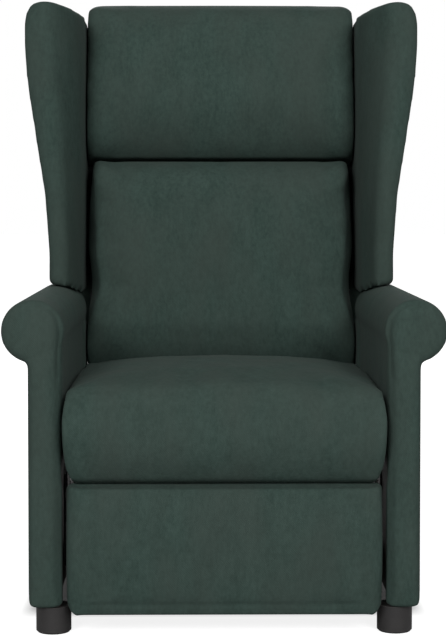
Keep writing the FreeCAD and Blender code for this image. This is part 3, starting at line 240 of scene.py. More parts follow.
class EffectGroups:
    """Builds each shared effect once and hands it to the materials."""

    def __init__(self) -> None:
        """Build every group."""
        self.groups = {
            GroupKind.WEAVE: self._weave(),
            GroupKind.MOTTLE: self._mottle(),
            GroupKind.GRAIN: self._grain(),
            GroupKind.WEAR: self._wear(),
            GroupKind.DUST: self._dust(),
        }

    def place(self, tree: Tree, kind: GroupKind, **values: object) -> bpy.types.Node:
        """Put a group into a material.

        Args:
            tree: The material's tree.
            kind: Which effect.
            **values: Numbers for the group's inputs, by name with underscores for spaces.

        Returns:
            The group node.
        """
        node = tree.add("ShaderNodeGroup")
        node.node_tree = self.groups[kind]
        for name, value in values.items():
            tree.feed(node.inputs[name.replace("_", " ")], value)
        return node

    @staticmethod
    def _start(
        kind: GroupKind, inputs: dict[str, float], outputs: list[str]
    ) -> tuple[Tree, bpy.types.Node, bpy.types.Node]:
        """An empty group with its named sockets.

        Args:
            kind: Which effect.
            inputs: Names and first values of its number inputs.
            outputs: Names of its number outputs.

        Returns:
            The tree, the group's input node and its output node.
        """
        group = bpy.data.node_groups.new(kind.value, "ShaderNodeTree")
        number = "NodeSocketFloat"
        for name, value in inputs.items():
            socket = group.interface.new_socket(name=name, in_out="INPUT", socket_type=number)
            socket.default_value = value
        for name in outputs:
            group.interface.new_socket(name=name, in_out="OUTPUT", socket_type=number)
        tree = Tree(group)
        return tree, tree.add("NodeGroupInput"), tree.add("NodeGroupOutput")

    def _weave(self) -> bpy.types.NodeTree:
        """Crossing threads on whichever plane the surface lies nearest to."""
        inputs = {"Pitch": 0.0012, "Wander": 0.15}
        tree, given, made = self._start(GroupKind.WEAVE, inputs, ["Height", "Slub"])
        place = tree.surface()
        wander = tree.add("ShaderNodeTexNoise")
        tree.join(place, wander.inputs["Vector"])
        wander.inputs["Scale"].default_value = 45.0
        shift = tree.grown(wander.outputs["Color"], given.outputs["Wander"])
        cells = tree.grown(place, tree.math("DIVIDE", math.pi, given.outputs["Pitch"]))
        waves = [tree.math("SINE", part) for part in tree.parts(tree.vector("ADD", cells, shift))]
        facing = tree.parts(tree.surface("Normal"))
        shares = [tree.math("POWER", tree.math("ABSOLUTE", part), 4.0) for part in facing]
        whole = tree.math("ADD", tree.math("ADD", shares[0], shares[1]), shares[2])
        height = 0.0
        for axis in range(3):
            threads = tree.math("MULTIPLY", waves[(axis + 1) % 3], waves[(axis + 2) % 3])
            height = tree.math("MULTIPLY_ADD", threads, shares[axis], height)
        height = tree.math("DIVIDE", height, whole)
        tree.join(tree.math("MULTIPLY_ADD", height, 0.5, 0.5), made.inputs["Height"])
        warp, weft = [
            tree.noise(tree.vector("MULTIPLY", place, stretch), 1.0, 1.0)
            for stretch in ((90.0, 90.0, 900.0), (900.0, 900.0, 90.0))
        ]
        tree.join(tree.math("MULTIPLY", warp, weft), made.inputs["Slub"])
        return tree.tree

    def _mottle(self) -> bpy.types.NodeTree:
        """Soft clouds of several sizes, drawn out upwards, and a slower drift of hue."""
        inputs = {"Size": 0.03, "Length": 1.0}
        tree, given, made = self._start(GroupKind.MOTTLE, inputs, ["Cloud", "Drift"])
        drawn = tree.add("ShaderNodeCombineXYZ")
        drawn.inputs["X"].default_value = 1.0
        drawn.inputs["Y"].default_value = 1.0
        tree.join(tree.math("DIVIDE", 1.0, given.outputs["Length"]), drawn.inputs["Z"])
        place = tree.vector("MULTIPLY", tree.surface(), drawn.outputs[0])
        scale = tree.math("DIVIDE", 1.0, given.outputs["Size"])
        cloud = tree.noise(place, scale, 4.0, 0.62)
        tree.join(tree.spread(cloud, 0.3, 0.7), made.inputs["Cloud"])
        drift = tree.noise(place, tree.math("MULTIPLY", scale, 0.35))
        tree.join(tree.spread(drift, 0.35, 0.65), made.inputs["Drift"])
        return tree.tree

    def _grain(self) -> bpy.types.NodeTree:
        """Long fibres and rings of timber, drawn out by how fine they are along each axis."""
        inputs = {"Across X": 60.0, "Across Y": 60.0, "Across Z": 60.0}
        tree, given, made = self._start(GroupKind.GRAIN, inputs, ["Rings", "Fibre"])
        factors = tree.add("ShaderNodeCombineXYZ")
        for axis, name in enumerate(inputs):
            tree.join(given.outputs[name], factors.inputs[axis])
        drawn = tree.vector("MULTIPLY", tree.surface(), factors.outputs[0])
        rings = tree.math("FRACT", tree.math("MULTIPLY", tree.noise(drawn, 0.35, 1.0), 9.0))
        tree.join(tree.math("PINGPONG", rings, 0.5), made.inputs["Rings"])
        tree.join(tree.noise(drawn, 6.0, 5.0, 0.7), made.inputs["Fibre"])
        return tree.tree

    def _wear(self) -> bpy.types.NodeTree:
        """A mask of rubbed edges."""
        inputs = {"Width": 0.0015, "Breakup": 300.0}
        tree, given, made = self._start(GroupKind.WEAR, inputs, ["Mask"])
        rounded = tree.add("ShaderNodeBevel", samples=4)
        tree.join(given.outputs["Width"], rounded.inputs["Radius"])
        normal = tree.add("ShaderNodeNewGeometry").outputs["Normal"]
        turn = tree.vector("DOT_PRODUCT", rounded.outputs[0], normal, "Value")
        edge = tree.spread(turn, 0.985, 0.9)
        broken = tree.noise(tree.surface(), given.outputs["Breakup"], 3.0)
        mask = tree.math("MULTIPLY", edge, tree.spread(broken, 0.35, 0.65))
        tree.join(mask, made.inputs["Mask"])
        return tree.tree

    def _dust(self) -> bpy.types.NodeTree:
        """A thin film on what faces up."""
        tree, given, made = self._start(GroupKind.DUST, {"Amount": 0.3}, ["Film"])
        facing = tree.spread(tree.parts(tree.surface("Normal"))[2], 0.2, 1.0)
        patches = tree.spread(tree.noise(tree.surface(), 60.0, 4.0), 0.35, 0.75)
        dusty = tree.math("MULTIPLY", facing, patches)
        film = tree.math("MULTIPLY", dusty, given.outputs["Amount"])
        tree.join(film, made.inputs["Film"])
        return tree.tree


# Finishes
class Finish:
    """A material in the making: its tree, its Principled shader and its shared effects."""

    def __init__(self, name: str, groups: EffectGroups) -> None:
        """Start an empty material.

        Args:
            name: The material's name.
            groups: The shared effects.
        """
        self.material = bpy.data.materials.new(name)
        self.material.use_nodes = True
        self.groups = groups
        self.tree = Tree(self.material.node_tree)
        self.shader = self.material.node_tree.nodes["Principled BSDF"]

    def effect(self, kind: GroupKind, **values: object) -> bpy.types.Node:
        """Put a shared effect into the material, see EffectGroups.place."""
        return self.groups.place(self.tree, kind, **values)

    def constant(self, **values: object) -> None:
        """Set the shader's own sockets, by name with underscores for spaces."""
        for name, value in values.items():
            self.shader.inputs[name.replace("_", " ")].default_value = value

    def colour(self, value: object) -> None:
        """Join the base colour."""
        self.tree.join(value, self.shader.inputs["Base Color"])

    def dusted(self, body: object, dust: RGB, amount: float) -> None:
        """Join the base colour under a thin film of dust.

        Args:
            body: The colour without dust.
            dust: The dust's own colour.
            amount: How thick the film is, from 0 to 1.
        """
        film = self.effect(GroupKind.DUST, Amount=amount).outputs["Film"]
        self.colour(self.tree.blend(film, body, linear(dust)))

    def roughness(self, value: object, spread: float, least: float) -> None:
        """Join the roughness, from least up to least + spread by a value."""
        rough = self.tree.math("MULTIPLY_ADD", value, spread, least)
        self.tree.join(rough, self.shader.inputs["Roughness"])

    def bump(self, height: object, distance: float, strength: float) -> None:
        """Raise the surface by a height value.

        Args:
            height: The height socket, from 0 to 1.
            distance: The relief's depth in metres.
            strength: How much of it shows.
        """
        node = self.tree.add("ShaderNodeBump")
        node.inputs["Distance"].default_value = distance
        node.inputs["Strength"].default_value = strength
        self.tree.join(height, node.inputs["Height"])
        self.tree.join(node.outputs[0], self.shader.inputs["Normal"])


@dataclass(frozen=True)
class Recipe:
    """What a material is mixed from."""

    name: str

    def material(self, groups: EffectGroups) -> bpy.types.Material:
        """Make the material.

        Args:
            groups: The shared effects.

        Returns:
            The finished material.
        """
        finish = Finish(self.name, groups)
        self.mix(finish)
        return finish.material

    def mix(self, finish: Finish) -> None:
        """Join the finish's colour, roughness and relief."""
        raise NotImplementedError


@dataclass(frozen=True)
class WovenCloth(Recipe):
    """Piece-dyed upholstery cloth with a flat weave, mottled by its slubs."""

    light: RGB
    dark: RGB
    drift: RGB
    pitch: float = 0.0014
    relief: float = 0.0004

    def mix(self, finish: Finish) -> None:
        """See Recipe.mix."""
        tree = finish.tree
        weave = finish.effect(GroupKind.WEAVE, Pitch=self.pitch)
        clouds = finish.effect(GroupKind.MOTTLE, Size=0.028, Length=2.6)
        fine = finish.effect(GroupKind.MOTTLE, Size=0.006, Length=1.8)
        share = -0.06
        for part, weight in ((fine, 0.5), (clouds, 0.36)):
            share = tree.math("MULTIPLY_ADD", part.outputs["Cloud"], weight, share)
        share = tree.math("MULTIPLY_ADD", weave.outputs["Slub"], 0.5, share)
        body = tree.blend(share, linear(self.dark), linear(self.light))
        hue = tree.math("MULTIPLY", clouds.outputs["Drift"], 0.5)
        body = tree.blend(hue, body, linear(self.drift))
        thread = tree.math("MULTIPLY", weave.outputs["Height"], 0.12)
        body = tree.blend(thread, body, linear(self.light))
        finish.dusted(body, (120, 122, 116), 0.02)
        finish.roughness(fine.outputs["Cloud"], 0.1, 0.84)
        finish.constant(Sheen_Weight=0.02, Sheen_Roughness=0.5, Specular_IOR_Level=0.05)
        height = tree.math("MULTIPLY_ADD", fine.outputs["Cloud"], 0.5, weave.outputs["Height"])
        finish.bump(height, self.relief, 0.5)


@dataclass(frozen=True)
class SawnTimber(Recipe):
    """Planed softwood with its grain along one axis."""

    light: RGB
    dark: RGB
    axis: int

    def mix(self, finish: Finish) -> None:
        """See Recipe.mix."""
        tree = finish.tree
        fineness = {"Across_X": 70.0, "Across_Y": 70.0, "Across_Z": 70.0}
        fineness[list(fineness)[self.axis]] = 4.0
        grain = finish.effect(GroupKind.GRAIN, **fineness)
        wear = finish.effect(GroupKind.WEAR, Width=0.002)
        share = tree.math("MULTIPLY", grain.outputs["Rings"], 1.1)
        share = tree.math("MULTIPLY_ADD", grain.outputs["Fibre"], 0.5, share)
        body = tree.blend(share, linear(self.light), linear(self.dark))
        body = tree.blend(wear.outputs["Mask"], body, linear(self.light))
        finish.dusted(body, (150, 144, 132), 0.3)
        finish.roughness(grain.outputs["Fibre"], 0.25, 0.5)
        finish.bump(grain.outputs["Fibre"], 0.0004, 0.5)


@dataclass(frozen=True)
class LayeredPly(Recipe):
    """Plywood: veneer on its faces and crossing layers on its edges."""

    face: RGB
    core: RGB
    across: int
    layer: float = 0.0018

    def mix(self, finish: Finish) -> None:
        """See Recipe.mix."""
        tree = finish.tree
        grain = finish.effect(GroupKind.GRAIN, Across_X=40.0, Across_Y=3.0, Across_Z=45.0)
        layers = tree.math("PINGPONG", tree.parts(tree.surface())[self.across], self.layer)
        stripe = tree.spread(layers, self.layer * 0.4, self.layer * 0.6)
        facing = tree.parts(tree.surface("Normal"))[self.across]
        on_edge = tree.spread(tree.math("ABSOLUTE", facing), 0.8, 0.3)
        body = tree.blend(grain.outputs["Rings"], linear(self.face), linear(self.core))
        edge = tree.blend(stripe, linear(self.face), linear(self.core))
        finish.colour(tree.blend(on_edge, body, edge))
        finish.roughness(grain.outputs["Fibre"], 0.2, 0.55)
        finish.bump(grain.outputs["Fibre"], 0.0003, 0.4)


@dataclass(frozen=True)
class CoatedSteel(Recipe):
    """Steel with a thin coat that is rubbed bright along its edges."""

    coat: RGB
    bare: RGB
    metallic: float
    rough: float

    def mix(self, finish: Finish) -> None:
        """See Recipe.mix."""
        tree = finish.tree
        mottle = finish.effect(GroupKind.MOTTLE, Size=0.012)
        wear = finish.effect(GroupKind.WEAR, Width=0.0008)
        darker = tuple(value * 0.82 for value in self.coat)
        body = tree.blend(mottle.outputs["Cloud"], linear(darker), linear(self.coat))
        body = tree.blend(wear.outputs["Mask"], body, linear(self.bare))
        finish.dusted(body, (150, 146, 138), 0.2)
        finish.roughness(mottle.outputs["Cloud"], 0.2, self.rough)
        finish.constant(Metallic=self.metallic)
        finish.bump(mottle.outputs["Cloud"], 0.0002, 0.3)


@dataclass(frozen=True)
class MouldedPlastic(Recipe):
    """Moulded plastic with a fine spark-eroded skin."""

    light: RGB
    dark: RGB
    rough: float = 0.45
    grain_size: float = 0.0011

    def mix(self, finish: Finish) -> None:
        """See Recipe.mix."""
        tree = finish.tree
        skin = finish.effect(GroupKind.MOTTLE, Size=self.grain_size)
        clouds = finish.effect(GroupKind.MOTTLE, Size=0.02)
        wear = finish.effect(GroupKind.WEAR, Width=0.001)
        body = tree.blend(clouds.outputs["Cloud"], linear(self.dark), linear(self.light))
        rubbed = tree.math("MULTIPLY", wear.outputs["Mask"], 0.5)
        body = tree.blend(rubbed, body, linear((120, 116, 112)))
        finish.dusted(body, (140, 136, 130), 0.2)
        finish.roughness(skin.outputs["Cloud"], 0.15, self.rough)
        finish.bump(skin.outputs["Cloud"], 0.00012, 0.5)


BEECH = ((150, 118, 84), (108, 80, 54))
# Plywood colours kept near-black as painted shade: the boards show only through the gaps beside
# the arms and footrest, where shadow falls.
PLY_DARKENED_AS_SHADE = ((42, 38, 35), (29, 26, 24))


class Wardrobe:
    """Every finish of the chair, made once and looked up by name."""

    def __init__(self) -> None:
        """Make the shared effects and the finishes."""
        groups = EffectGroups()
        finishes = {
            "cloth": WovenCloth("green_cloth", (67, 84, 78), (45, 60, 55), (64, 73, 68)),
            # Near-black cloth for the wing rails: partly a real cover, partly painted shade that
            # keeps the slits beside the back cushions dark.
            "lining_and_painted_shade": WovenCloth(
                "black_lining_and_painted_shade", (27, 29, 29), (17, 19, 19), (24, 25, 25), 0.0009, 0.0002
            ),
            "webbing": WovenCloth(
                "elastic_webbing", (150, 142, 124), (96, 88, 74), (120, 60, 44), 0.003, 0.0008
            ),
            "timber_x": SawnTimber("beech_across", *BEECH, 0),
            "timber_y": SawnTimber("beech_along", *BEECH, 1),
            "timber_z": SawnTimber("beech_upright", *BEECH, 2),
            "ply_x": LayeredPly("plywood_side", *PLY_DARKENED_AS_SHADE, 0),
            "ply_y": LayeredPly("plywood_panel", *PLY_DARKENED_AS_SHADE, 1),
            "plate": CoatedSteel("black_coated_steel", (46, 47, 49), (138, 138, 140), 0.55, 0.38),
            "link": CoatedSteel("zinc_plated_steel", (150, 150, 146), (196, 196, 194), 0.9, 0.3),
            "spring": CoatedSteel("spring_wire", (92, 90, 86), (170, 170, 168), 0.9, 0.35),
            "rotor": CoatedSteel("turned_steel", (160, 158, 154), (206, 206, 206), 0.95, 0.25),
            "foot": MouldedPlastic("dark_foot", (36, 34, 34), (28, 26, 26), 0.55),
            "housing": MouldedPlastic("black_housing", (40, 40, 42), (30, 30, 31), 0.4),
            "motor": MouldedPlastic("motor_shell", (72, 73, 76), (56, 57, 60), 0.35),
        }
        self.materials = {name: finish.material(groups) for name, finish in finishes.items()}

    def dress(self, piece: Mesh, name: str) -> None:
        """Give a whole piece one finish.

        Args:
            piece: The mesh object.
            name: The finish's name.
        """
        piece.data.materials.clear()
        piece.data.materials.append(self.materials[name])
        flat = np.zeros(len(piece.data.polygons), dtype=np.int32)
        piece.data.polygons.foreach_set("material_index", flat)


# Mesh work
SAME_PLACE = 1e-5
CLOTH = {
    "quality": 4,
    "mass": 0.3,
    "tension_stiffness": 12,
    "compression_stiffness": 12,
    "shear_stiffness": 6,
    "bending_stiffness": 0.6,
    "use_pressure": True,
    "vertex_group_mass": "held",
}


def rows_of(piece: Mesh, kind: str) -> np.ndarray:
    """One value of each vertex, its "co" or its "normal", as rows of x, y and z."""
    flat = np.empty(len(piece.data.vertices) * 3, dtype=np.float32)
    piece.data.vertices.foreach_get(kind, flat)
    return flat.reshape(-1, 3).astype(float)


def points_of(piece: Mesh) -> np.ndarray:
    """The piece's vertices as rows."""
    return rows_of(piece, "co")


def normals_of(piece: Mesh) -> np.ndarray:
    """The piece's vertex normals as rows."""
    return rows_of(piece, "normal")


def move_points(piece: Mesh, points: np.ndarray) -> None:
    """Put the piece's vertices at the given rows."""
    piece.data.vertices.foreach_set("co", points.astype(np.float32).ravel())
    piece.data.update()


def new_piece(name: str, mesh: bpy.types.Mesh) -> Mesh:
    """An object in the scene for a mesh."""
    piece = bpy.data.objects.new(name, mesh)
    bpy.context.scene.collection.objects.link(piece)
    return piece


def copy_of_node(node: str, name: str) -> Mesh:
    """A closed copy of a node's mesh.

    Args:
        node: The node's name.
        name: The new piece's name.

    Returns:
        The new piece, its doubled vertices joined.
    """
    work = bmesh.new()
    work.from_mesh(frame["nodes"][node].data)
    bmesh.ops.remove_doubles(work, verts=work.verts, dist=SAME_PLACE)
    mesh = bpy.data.meshes.new(name)
    work.to_mesh(mesh)
    work.free()
    return new_piece(name, mesh)


def settle(piece: Mesh) -> None:
    """Apply the piece's modifiers to its mesh."""
    view = bpy.context.evaluated_depsgraph_get()
    mesh = bpy.data.meshes.new_from_object(piece.evaluated_get(view))
    old = piece.data
    piece.modifiers.clear()
    piece.data = mesh
    bpy.data.meshes.remove(old)


def remesh(piece: Mesh, voxel: float) -> None:
    """Rebuild the piece's surface from even squares.

    Args:
        piece: The mesh object.
        voxel: The squares' size in metres.
    """
    step = piece.modifiers.new("even", "REMESH")
    step.mode = "VOXEL"
    step.voxel_size = voxel
    settle(piece)


def relax(piece: Mesh, rounds: int, share: float, free: np.ndarray | None = None) -> None:
    """Draw each vertex towards the mean of its neighbours.

    Args:
        piece: The mesh object.
        rounds: How many times.
        share: How far each time, from 0 to 1.
        free: Weight of each vertex, 0 for one that stays.
    """
    pairs = np.empty(len(piece.data.edges) * 2, dtype=np.int32)
    piece.data.edges.foreach_get("vertices", pairs)
    first, second = pairs.reshape(-1, 2).T
    points = points_of(piece)
    count = np.zeros(len(points))
    np.add.at(count, first, 1)
    np.add.at(count, second, 1)
    weight = np.full(len(points), share) if free is None else free * share
    for _ in range(rounds):
        total = np.zeros_like(points)
        np.add.at(total, first, points[second])
        np.add.at(total, second, points[first])
        mean = total / count[:, None]
        points += (mean - points) * weight[:, None]
    move_points(piece, points)


def swell(
    piece: Mesh, held: np.ndarray, pressure: float, cap: float, last_frame: int = 20
) -> None:
    """Blow the piece up like a cloth bag, and keep every vertex within a cap of its start.

    Args:
        piece: The mesh object.
        held: True for each vertex that stays.
        pressure: The cloth's inner pressure.
        cap: The most that a vertex may move.
        last_frame: How long the cloth moves.
    """
    start = points_of(piece)
    group = piece.vertex_groups.new(name="held")
    group.add([int(index) for index in np.nonzero(held)[0]], 1.0, "REPLACE")
    cloth = piece.modifiers.new("cloth", "CLOTH")
    for name, value in CLOTH.items():
        setattr(cloth.settings, name, value)
    cloth.settings.uniform_pressure_force = pressure
    cloth.settings.effector_weights.gravity = 0
    for step in range(1, last_frame + 1):
        bpy.context.scene.frame_set(step)
    settle(piece)
    bpy.context.scene.frame_set(1)
    piece.vertex_groups.clear()
    moved = points_of(piece) - start
    reach = np.linalg.norm(moved, axis=1)
    kept = np.minimum(1.0, cap / np.maximum(reach, 1e-9))
    move_points(piece, start + moved * kept[:, None])


def add_subdivision(piece: Mesh) -> None:
    """Round the piece with one subdivision and smooth shading."""
    step = piece.modifiers.new("round", "SUBSURF")
    step.levels = 1
    step.render_levels = 1
    settle(piece)
    piece.data.polygons.foreach_set("use_smooth", np.ones(len(piece.data.polygons), dtype=bool))


# Studio
@dataclass(frozen=True)
class Lamp:
    """A square soft lamp: where it hangs, what it faces, its side in metres and its watts."""

    name: str
    place: Place
    aim: Place
    width: float
    power: float

    def hang(self) -> None:
        """Put the lamp into the scene."""
        lamp = bpy.data.lights.new(self.name, "AREA")
        lamp.shape = "SQUARE"
        lamp.size = self.width
        lamp.energy = self.power
        holder = bpy.data.objects.new(self.name, lamp)
        holder.location = self.place
        facing = Vector(self.aim) - Vector(self.place)
        holder.rotation_euler = facing.to_track_quat("-Z", "Y").to_euler()
        bpy.context.scene.collection.objects.link(holder)


LAMPS = (
    Lamp("left_lamp", (-2.5, -6.2, 3.5), (0, 0, 0.7), 2.6, 205.0),
    Lamp("right_lamp", (2.5, -6.2, 3.5), (0, 0, 0.7), 2.6, 205.0),
    Lamp("rear_lamp", (0, 4.6, 2.8), (0, 0, 0.6), 2.4, 70.0),
    Lamp("fill_lamp", (0.4, -0.6, 3.4), (0, 0, 0.5), 2.4, 4.0),
)


@dataclass(frozen=True)
class Studio:
    """Pale floor, plain white surroundings, soft lamps and the camera in front of the chair."""

    camera_place: Place = (-0.035, -3.0879, 0.69)
    camera_pitch: float = math.radians(2.331)
    camera_turn: float = -0.01196
    focal_length: float = 97.66
    frame_shift: float = -0.08
    world_light: float = 0.13
    floor_reach: float = 30.0
    near_glow: float = 0.85
    far_glow: float = 0.95
    glow_ends: Ends = (0.4, 1.2)
    # The painted shadow under the chair: its soft edges across, in front and behind, the share of
    # glow it keeps and the paper's grey there.
    painted_shadow_side: Ends = (0.34, 0.30)
    painted_shadow_front: Ends = (-0.25, -0.19)
    painted_shadow_rear: Ends = (0.4, 0.2)
    painted_shadow_glow: float = 0.03
    open_paper: float = 0.55
    painted_shadow_paper: float = 0.06

    def build(self) -> None:
        """Make the camera, the lamps, the world and the floor."""
        self._camera()
        for lamp in LAMPS:
            lamp.hang()
        self._world()
        self._floor()

    def _camera(self) -> None:
        """The camera, a little above the arms and looking slightly down."""
        camera = bpy.data.cameras.new("camera")
        camera.lens = self.focal_length
        camera.sensor_width = 36.0
        camera.shift_y = self.frame_shift
        holder = bpy.data.objects.new("camera", camera)
        holder.location = self.camera_place
        holder.rotation_euler = (math.pi / 2 - self.camera_pitch, 0, self.camera_turn)
        bpy.context.scene.collection.objects.link(holder)
        bpy.context.scene.camera = holder

    def _world(self) -> None:
        """Even light from all round, plain white to the camera and in gloss."""
        world = bpy.data.worlds.new("studio")
        bpy.context.scene.world = world
        world.use_nodes = True
        tree = Tree(world.node_tree)
        backdrop = world.node_tree.nodes["Background"]
        backdrop.inputs["Color"].default_value = (1, 1, 1, 1)
        path = tree.add("ShaderNodeLightPath")
        seen = tree.math("MAXIMUM", path.outputs["Is Camera Ray"], path.outputs["Is Glossy Ray"])
        strength = tree.math("MULTIPLY_ADD", seen, 1.0 - self.world_light, self.world_light)
        tree.join(strength, backdrop.inputs["Strength"])

    def _floor(self) -> None:
        """A wide round floor."""
        work = bmesh.new()
        bmesh.ops.create_circle(work, cap_ends=True, segments=96, radius=self.floor_reach)
        mesh = bpy.data.meshes.new("floor")
        work.to_mesh(mesh)
        work.free()
        floor = new_piece("floor", mesh)
        mesh.materials.append(self._paper())

    def _paper(self) -> bpy.types.Material:
        """Matt white paper: white further out and shadowed round the chair, with a painted shadow
        under it, where the paper is darker and almost stops glowing.
        """
        material = bpy.data.materials.new("white_paper")
        material.use_nodes = True
        tree = Tree(material.node_tree)
        shader = material.node_tree.nodes["Principled BSDF"]
        shader.inputs["Roughness"].default_value = 0.9
        shader.inputs["Specular IOR Level"].default_value = 0.1
        shader.inputs["Emission Color"].default_value = (1, 1, 1, 1)
        place = tree.surface()
        far = tree.spread(tree.vector("LENGTH", place, (0, 0, 0), "Value"), *self.glow_ends)
        level = tree.math("MULTIPLY_ADD", far, self.far_glow - self.near_glow, self.near_glow)
        # Painted shadow: a soft box under the chair that darkens the paper and cuts its glow.
        x, y, _ = tree.parts(place)
        across = tree.spread(tree.math("ABSOLUTE", x), *self.painted_shadow_side)
        ahead = tree.spread(y, *self.painted_shadow_front)
        behind = tree.spread(y, *self.painted_shadow_rear)
        under = tree.math("MULTIPLY", tree.math("MULTIPLY", across, ahead), behind)
        kept = tree.math("MULTIPLY_ADD", under, self.painted_shadow_glow - 1.0, 1.0)
        greys = [(value, value, value, 1) for value in (self.open_paper, self.painted_shadow_paper)]
        tree.join(tree.blend(under, *greys), shader.inputs["Base Color"])
        seen = tree.add("ShaderNodeLightPath").outputs["Is Camera Ray"]
        glow = tree.math("MULTIPLY", seen, tree.math("MULTIPLY", level, kept))
        tree.join(glow, shader.inputs["Emission Strength"])
        return material


# Upholstery
class Solid:
    """The surface of a solid, for finding the nearest place on it."""

    def __init__(self, source: Mesh) -> None:
        """Read the object's mesh."""
        work = bmesh.new()
        work.from_mesh(source.data)
        self.tree = BVHTree.FromBMesh(work)
        work.free()

    def nearest(self, points: np.ndarray) -> np.ndarray:
        """The nearest places on the solid to some points."""
        return np.array([self.tree.find_nearest(Vector(point))[0] for point in points])


def ramp(values: np.ndarray, start: float, end: float) -> np.ndarray:
    """Values turned into 0 at start, 1 at end and an even rise between, either way round."""
    return np.clip((values - start) / (end - start), 0, 1)


def eased(values: np.ndarray, start: float, end: float) -> np.ndarray:
    """Like ramp, with a smooth rise."""
    share = ramp(values, start, end)
    return share * share * (3 - 2 * share)


def soft_limit(values: np.ndarray, limit: float, soft: float) -> np.ndarray:
    """Values that level off below a limit.

    Args:
        values: The numbers.
        limit: What they never pass.
        soft: How far before the limit they start to level off.

    Returns:
        The numbers, unchanged below limit - soft.
    """
    over = np.maximum(values - (limit - soft), 0.0)
    return np.minimum(values, limit - soft) + soft * (1 - np.exp(-over / soft))


@dataclass(frozen=True)
class Reach:
    """How one axis of a swelled cushion is brought back to its place."""

    low: float
    high: float
    below: float = 0.0
    above: float = 0.0
    soft: float = 0.004

    def fit(self, values: np.ndarray) -> np.ndarray:
        """Stretch values over the reach and press what passes its ends flat.

        Args:
            values: One coordinate of every vertex.

        Returns:
            The fitted coordinates.
        """
        start, end = values.min(), values.max()
        low, high = self.low - self.below, self.high + self.above
        fitted = low + (values - start) * (high - low) / (end - start)
        if self.above:
            fitted = soft_limit(fitted, self.high, self.soft)
        if self.below:
            fitted = -soft_limit(-fitted, -self.low, self.soft)
        return fitted


@dataclass(frozen=True)
class Seam:
    """A line of sewing that draws the cloth in."""

    path: tuple[Place, ...]
    depth: float = 0.0025
    width: float = 0.004
    fade: float = 0.0

    def laid_on(self, piece: Mesh, step: float = 0.005) -> "Seam":
        """The same seam with its path brought onto a piece.

        Args:
            piece: The mesh object that it is sewn in.
            step: How far apart its points lie.

        Returns:
            The seam along the piece's surface.
        """
        places = []
        corners = np.array(self.path)
        for start, end in zip(corners[:-1], corners[1:]):
            count = max(1, round(float(np.linalg.norm(end - start)) / step))
            places += [start + (end - start) * index / count for index in range(count)]
        places.append(corners[-1])
        laid = Solid(piece).nearest(np.array(places))
        apart = np.linalg.norm(np.diff(laid, axis=0), axis=1) > SAME_PLACE
        kept = laid[np.concatenate(([True], apart))]
        return replace(self, path=tuple(tuple(place) for place in kept))

    def draw_in(self, points: np.ndarray, normals: np.ndarray) -> np.ndarray:
        """Press the cloth in beside the seam.

        Args:
            points: Vertices as rows.
            normals: Their normals as rows.

        Returns:
            The moved vertices.
        """
        path = np.array(self.path)
        lengths = np.linalg.norm(np.diff(path, axis=0), axis=1)
        travelled = np.concatenate(([0.0], np.cumsum(lengths)))
        nearest = np.full(len(points), np.inf)
        along = np.zeros(len(points))
        for index, length in enumerate(lengths):
            start = path[index]
            step = path[index + 1] - start
            share = np.clip(((points - start) @ step) / length**2, 0, 1)
            reach = np.linalg.norm(points - (start + share[:, None] * step), axis=1)
            closer = reach < nearest
            nearest = np.where(closer, reach, nearest)
            along = np.where(closer, travelled[index] + share * length, along)
        strength = np.exp(-((nearest / self.width) ** 2))
        if self.fade:
            ends = np.minimum(along, travelled[-1] - along) / self.fade
            strength *= np.clip(ends, 0, 1)
        return points - normals * (self.depth * strength)[:, None]


def mirrored(path: tuple[Place, ...], side: Side) -> tuple[Place, ...]:
    """A path given for the left side, on the asked side of the chair."""
    return tuple((-side.value * x, y, z) for x, y, z in path)


@dataclass
class SoftPiece:
    """One upholstered piece, cut from its solid."""

    name: str
    node: str
    body: str
    fill: float
    voxel: float = 0.006
    seams: tuple[Seam, ...] = ()

    def build(self, wardrobe: Wardrobe) -> Mesh:
        """Make, dress and attach the piece.

        Args:
            wardrobe: The finishes.

        Returns:
            The finished mesh object.
        """
        piece = copy_of_node(self.node, self.name)
        remesh(piece, self.voxel)
        self.shape(piece)
        add_subdivision(piece)
        self.finish_form(piece)
        for seam in self.seams:
            drawn = seam.laid_on(piece).draw_in(points_of(piece), normals_of(piece))
            move_points(piece, drawn)
        wardrobe.dress(piece, "cloth")
        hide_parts(self.node)
        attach(piece, self.body)
        log.info("%s: %d faces", self.name, len(piece.data.polygons))
        return piece

    def shape(self, piece: Mesh) -> None:
        """Give the remeshed piece its form."""
        raise NotImplementedError

    def finish_form(self, piece: Mesh) -> None:
        """Last changes to the smooth piece."""


@dataclass
class Cushion(SoftPiece):
    """A loose-filled cushion that swells between its neighbours."""

    pressure: float = 4.0
    cap: float = 0.022
    shrink: float = 0.005
    softness: float = 0.55

    def shape(self, piece: Mesh) -> None:
        """Swell the cushion and press it back into its place."""
        start = Solid(frame["nodes"][self.node]).nearest(points_of(piece))
        move_points(piece, start)
        held = self.held(start, normals_of(piece))
        inwards = normals_of(piece) * (self.shrink * ~held)[:, None]
        move_points(piece, start - inwards)
        swell(piece, held, self.pressure, self.cap)
        fitted = self.fitted(points_of(piece))
        move_points(piece, start + (fitted - start) * self.softness)
        relax(piece, 2, 0.4)

    def finish_form(self, piece: Mesh) -> None:
        """Bring the smoothed cushion out to its neighbours again."""
        move_points(piece, self.fitted(points_of(piece)))

    def held(self, points: np.ndarray, normals: np.ndarray) -> np.ndarray:
        """True for each vertex that lies against the frame."""
        raise NotImplementedError

    def fitted(self, points: np.ndarray) -> np.ndarray:
        """The swelled vertices, brought back between the neighbours."""
        raise NotImplementedError


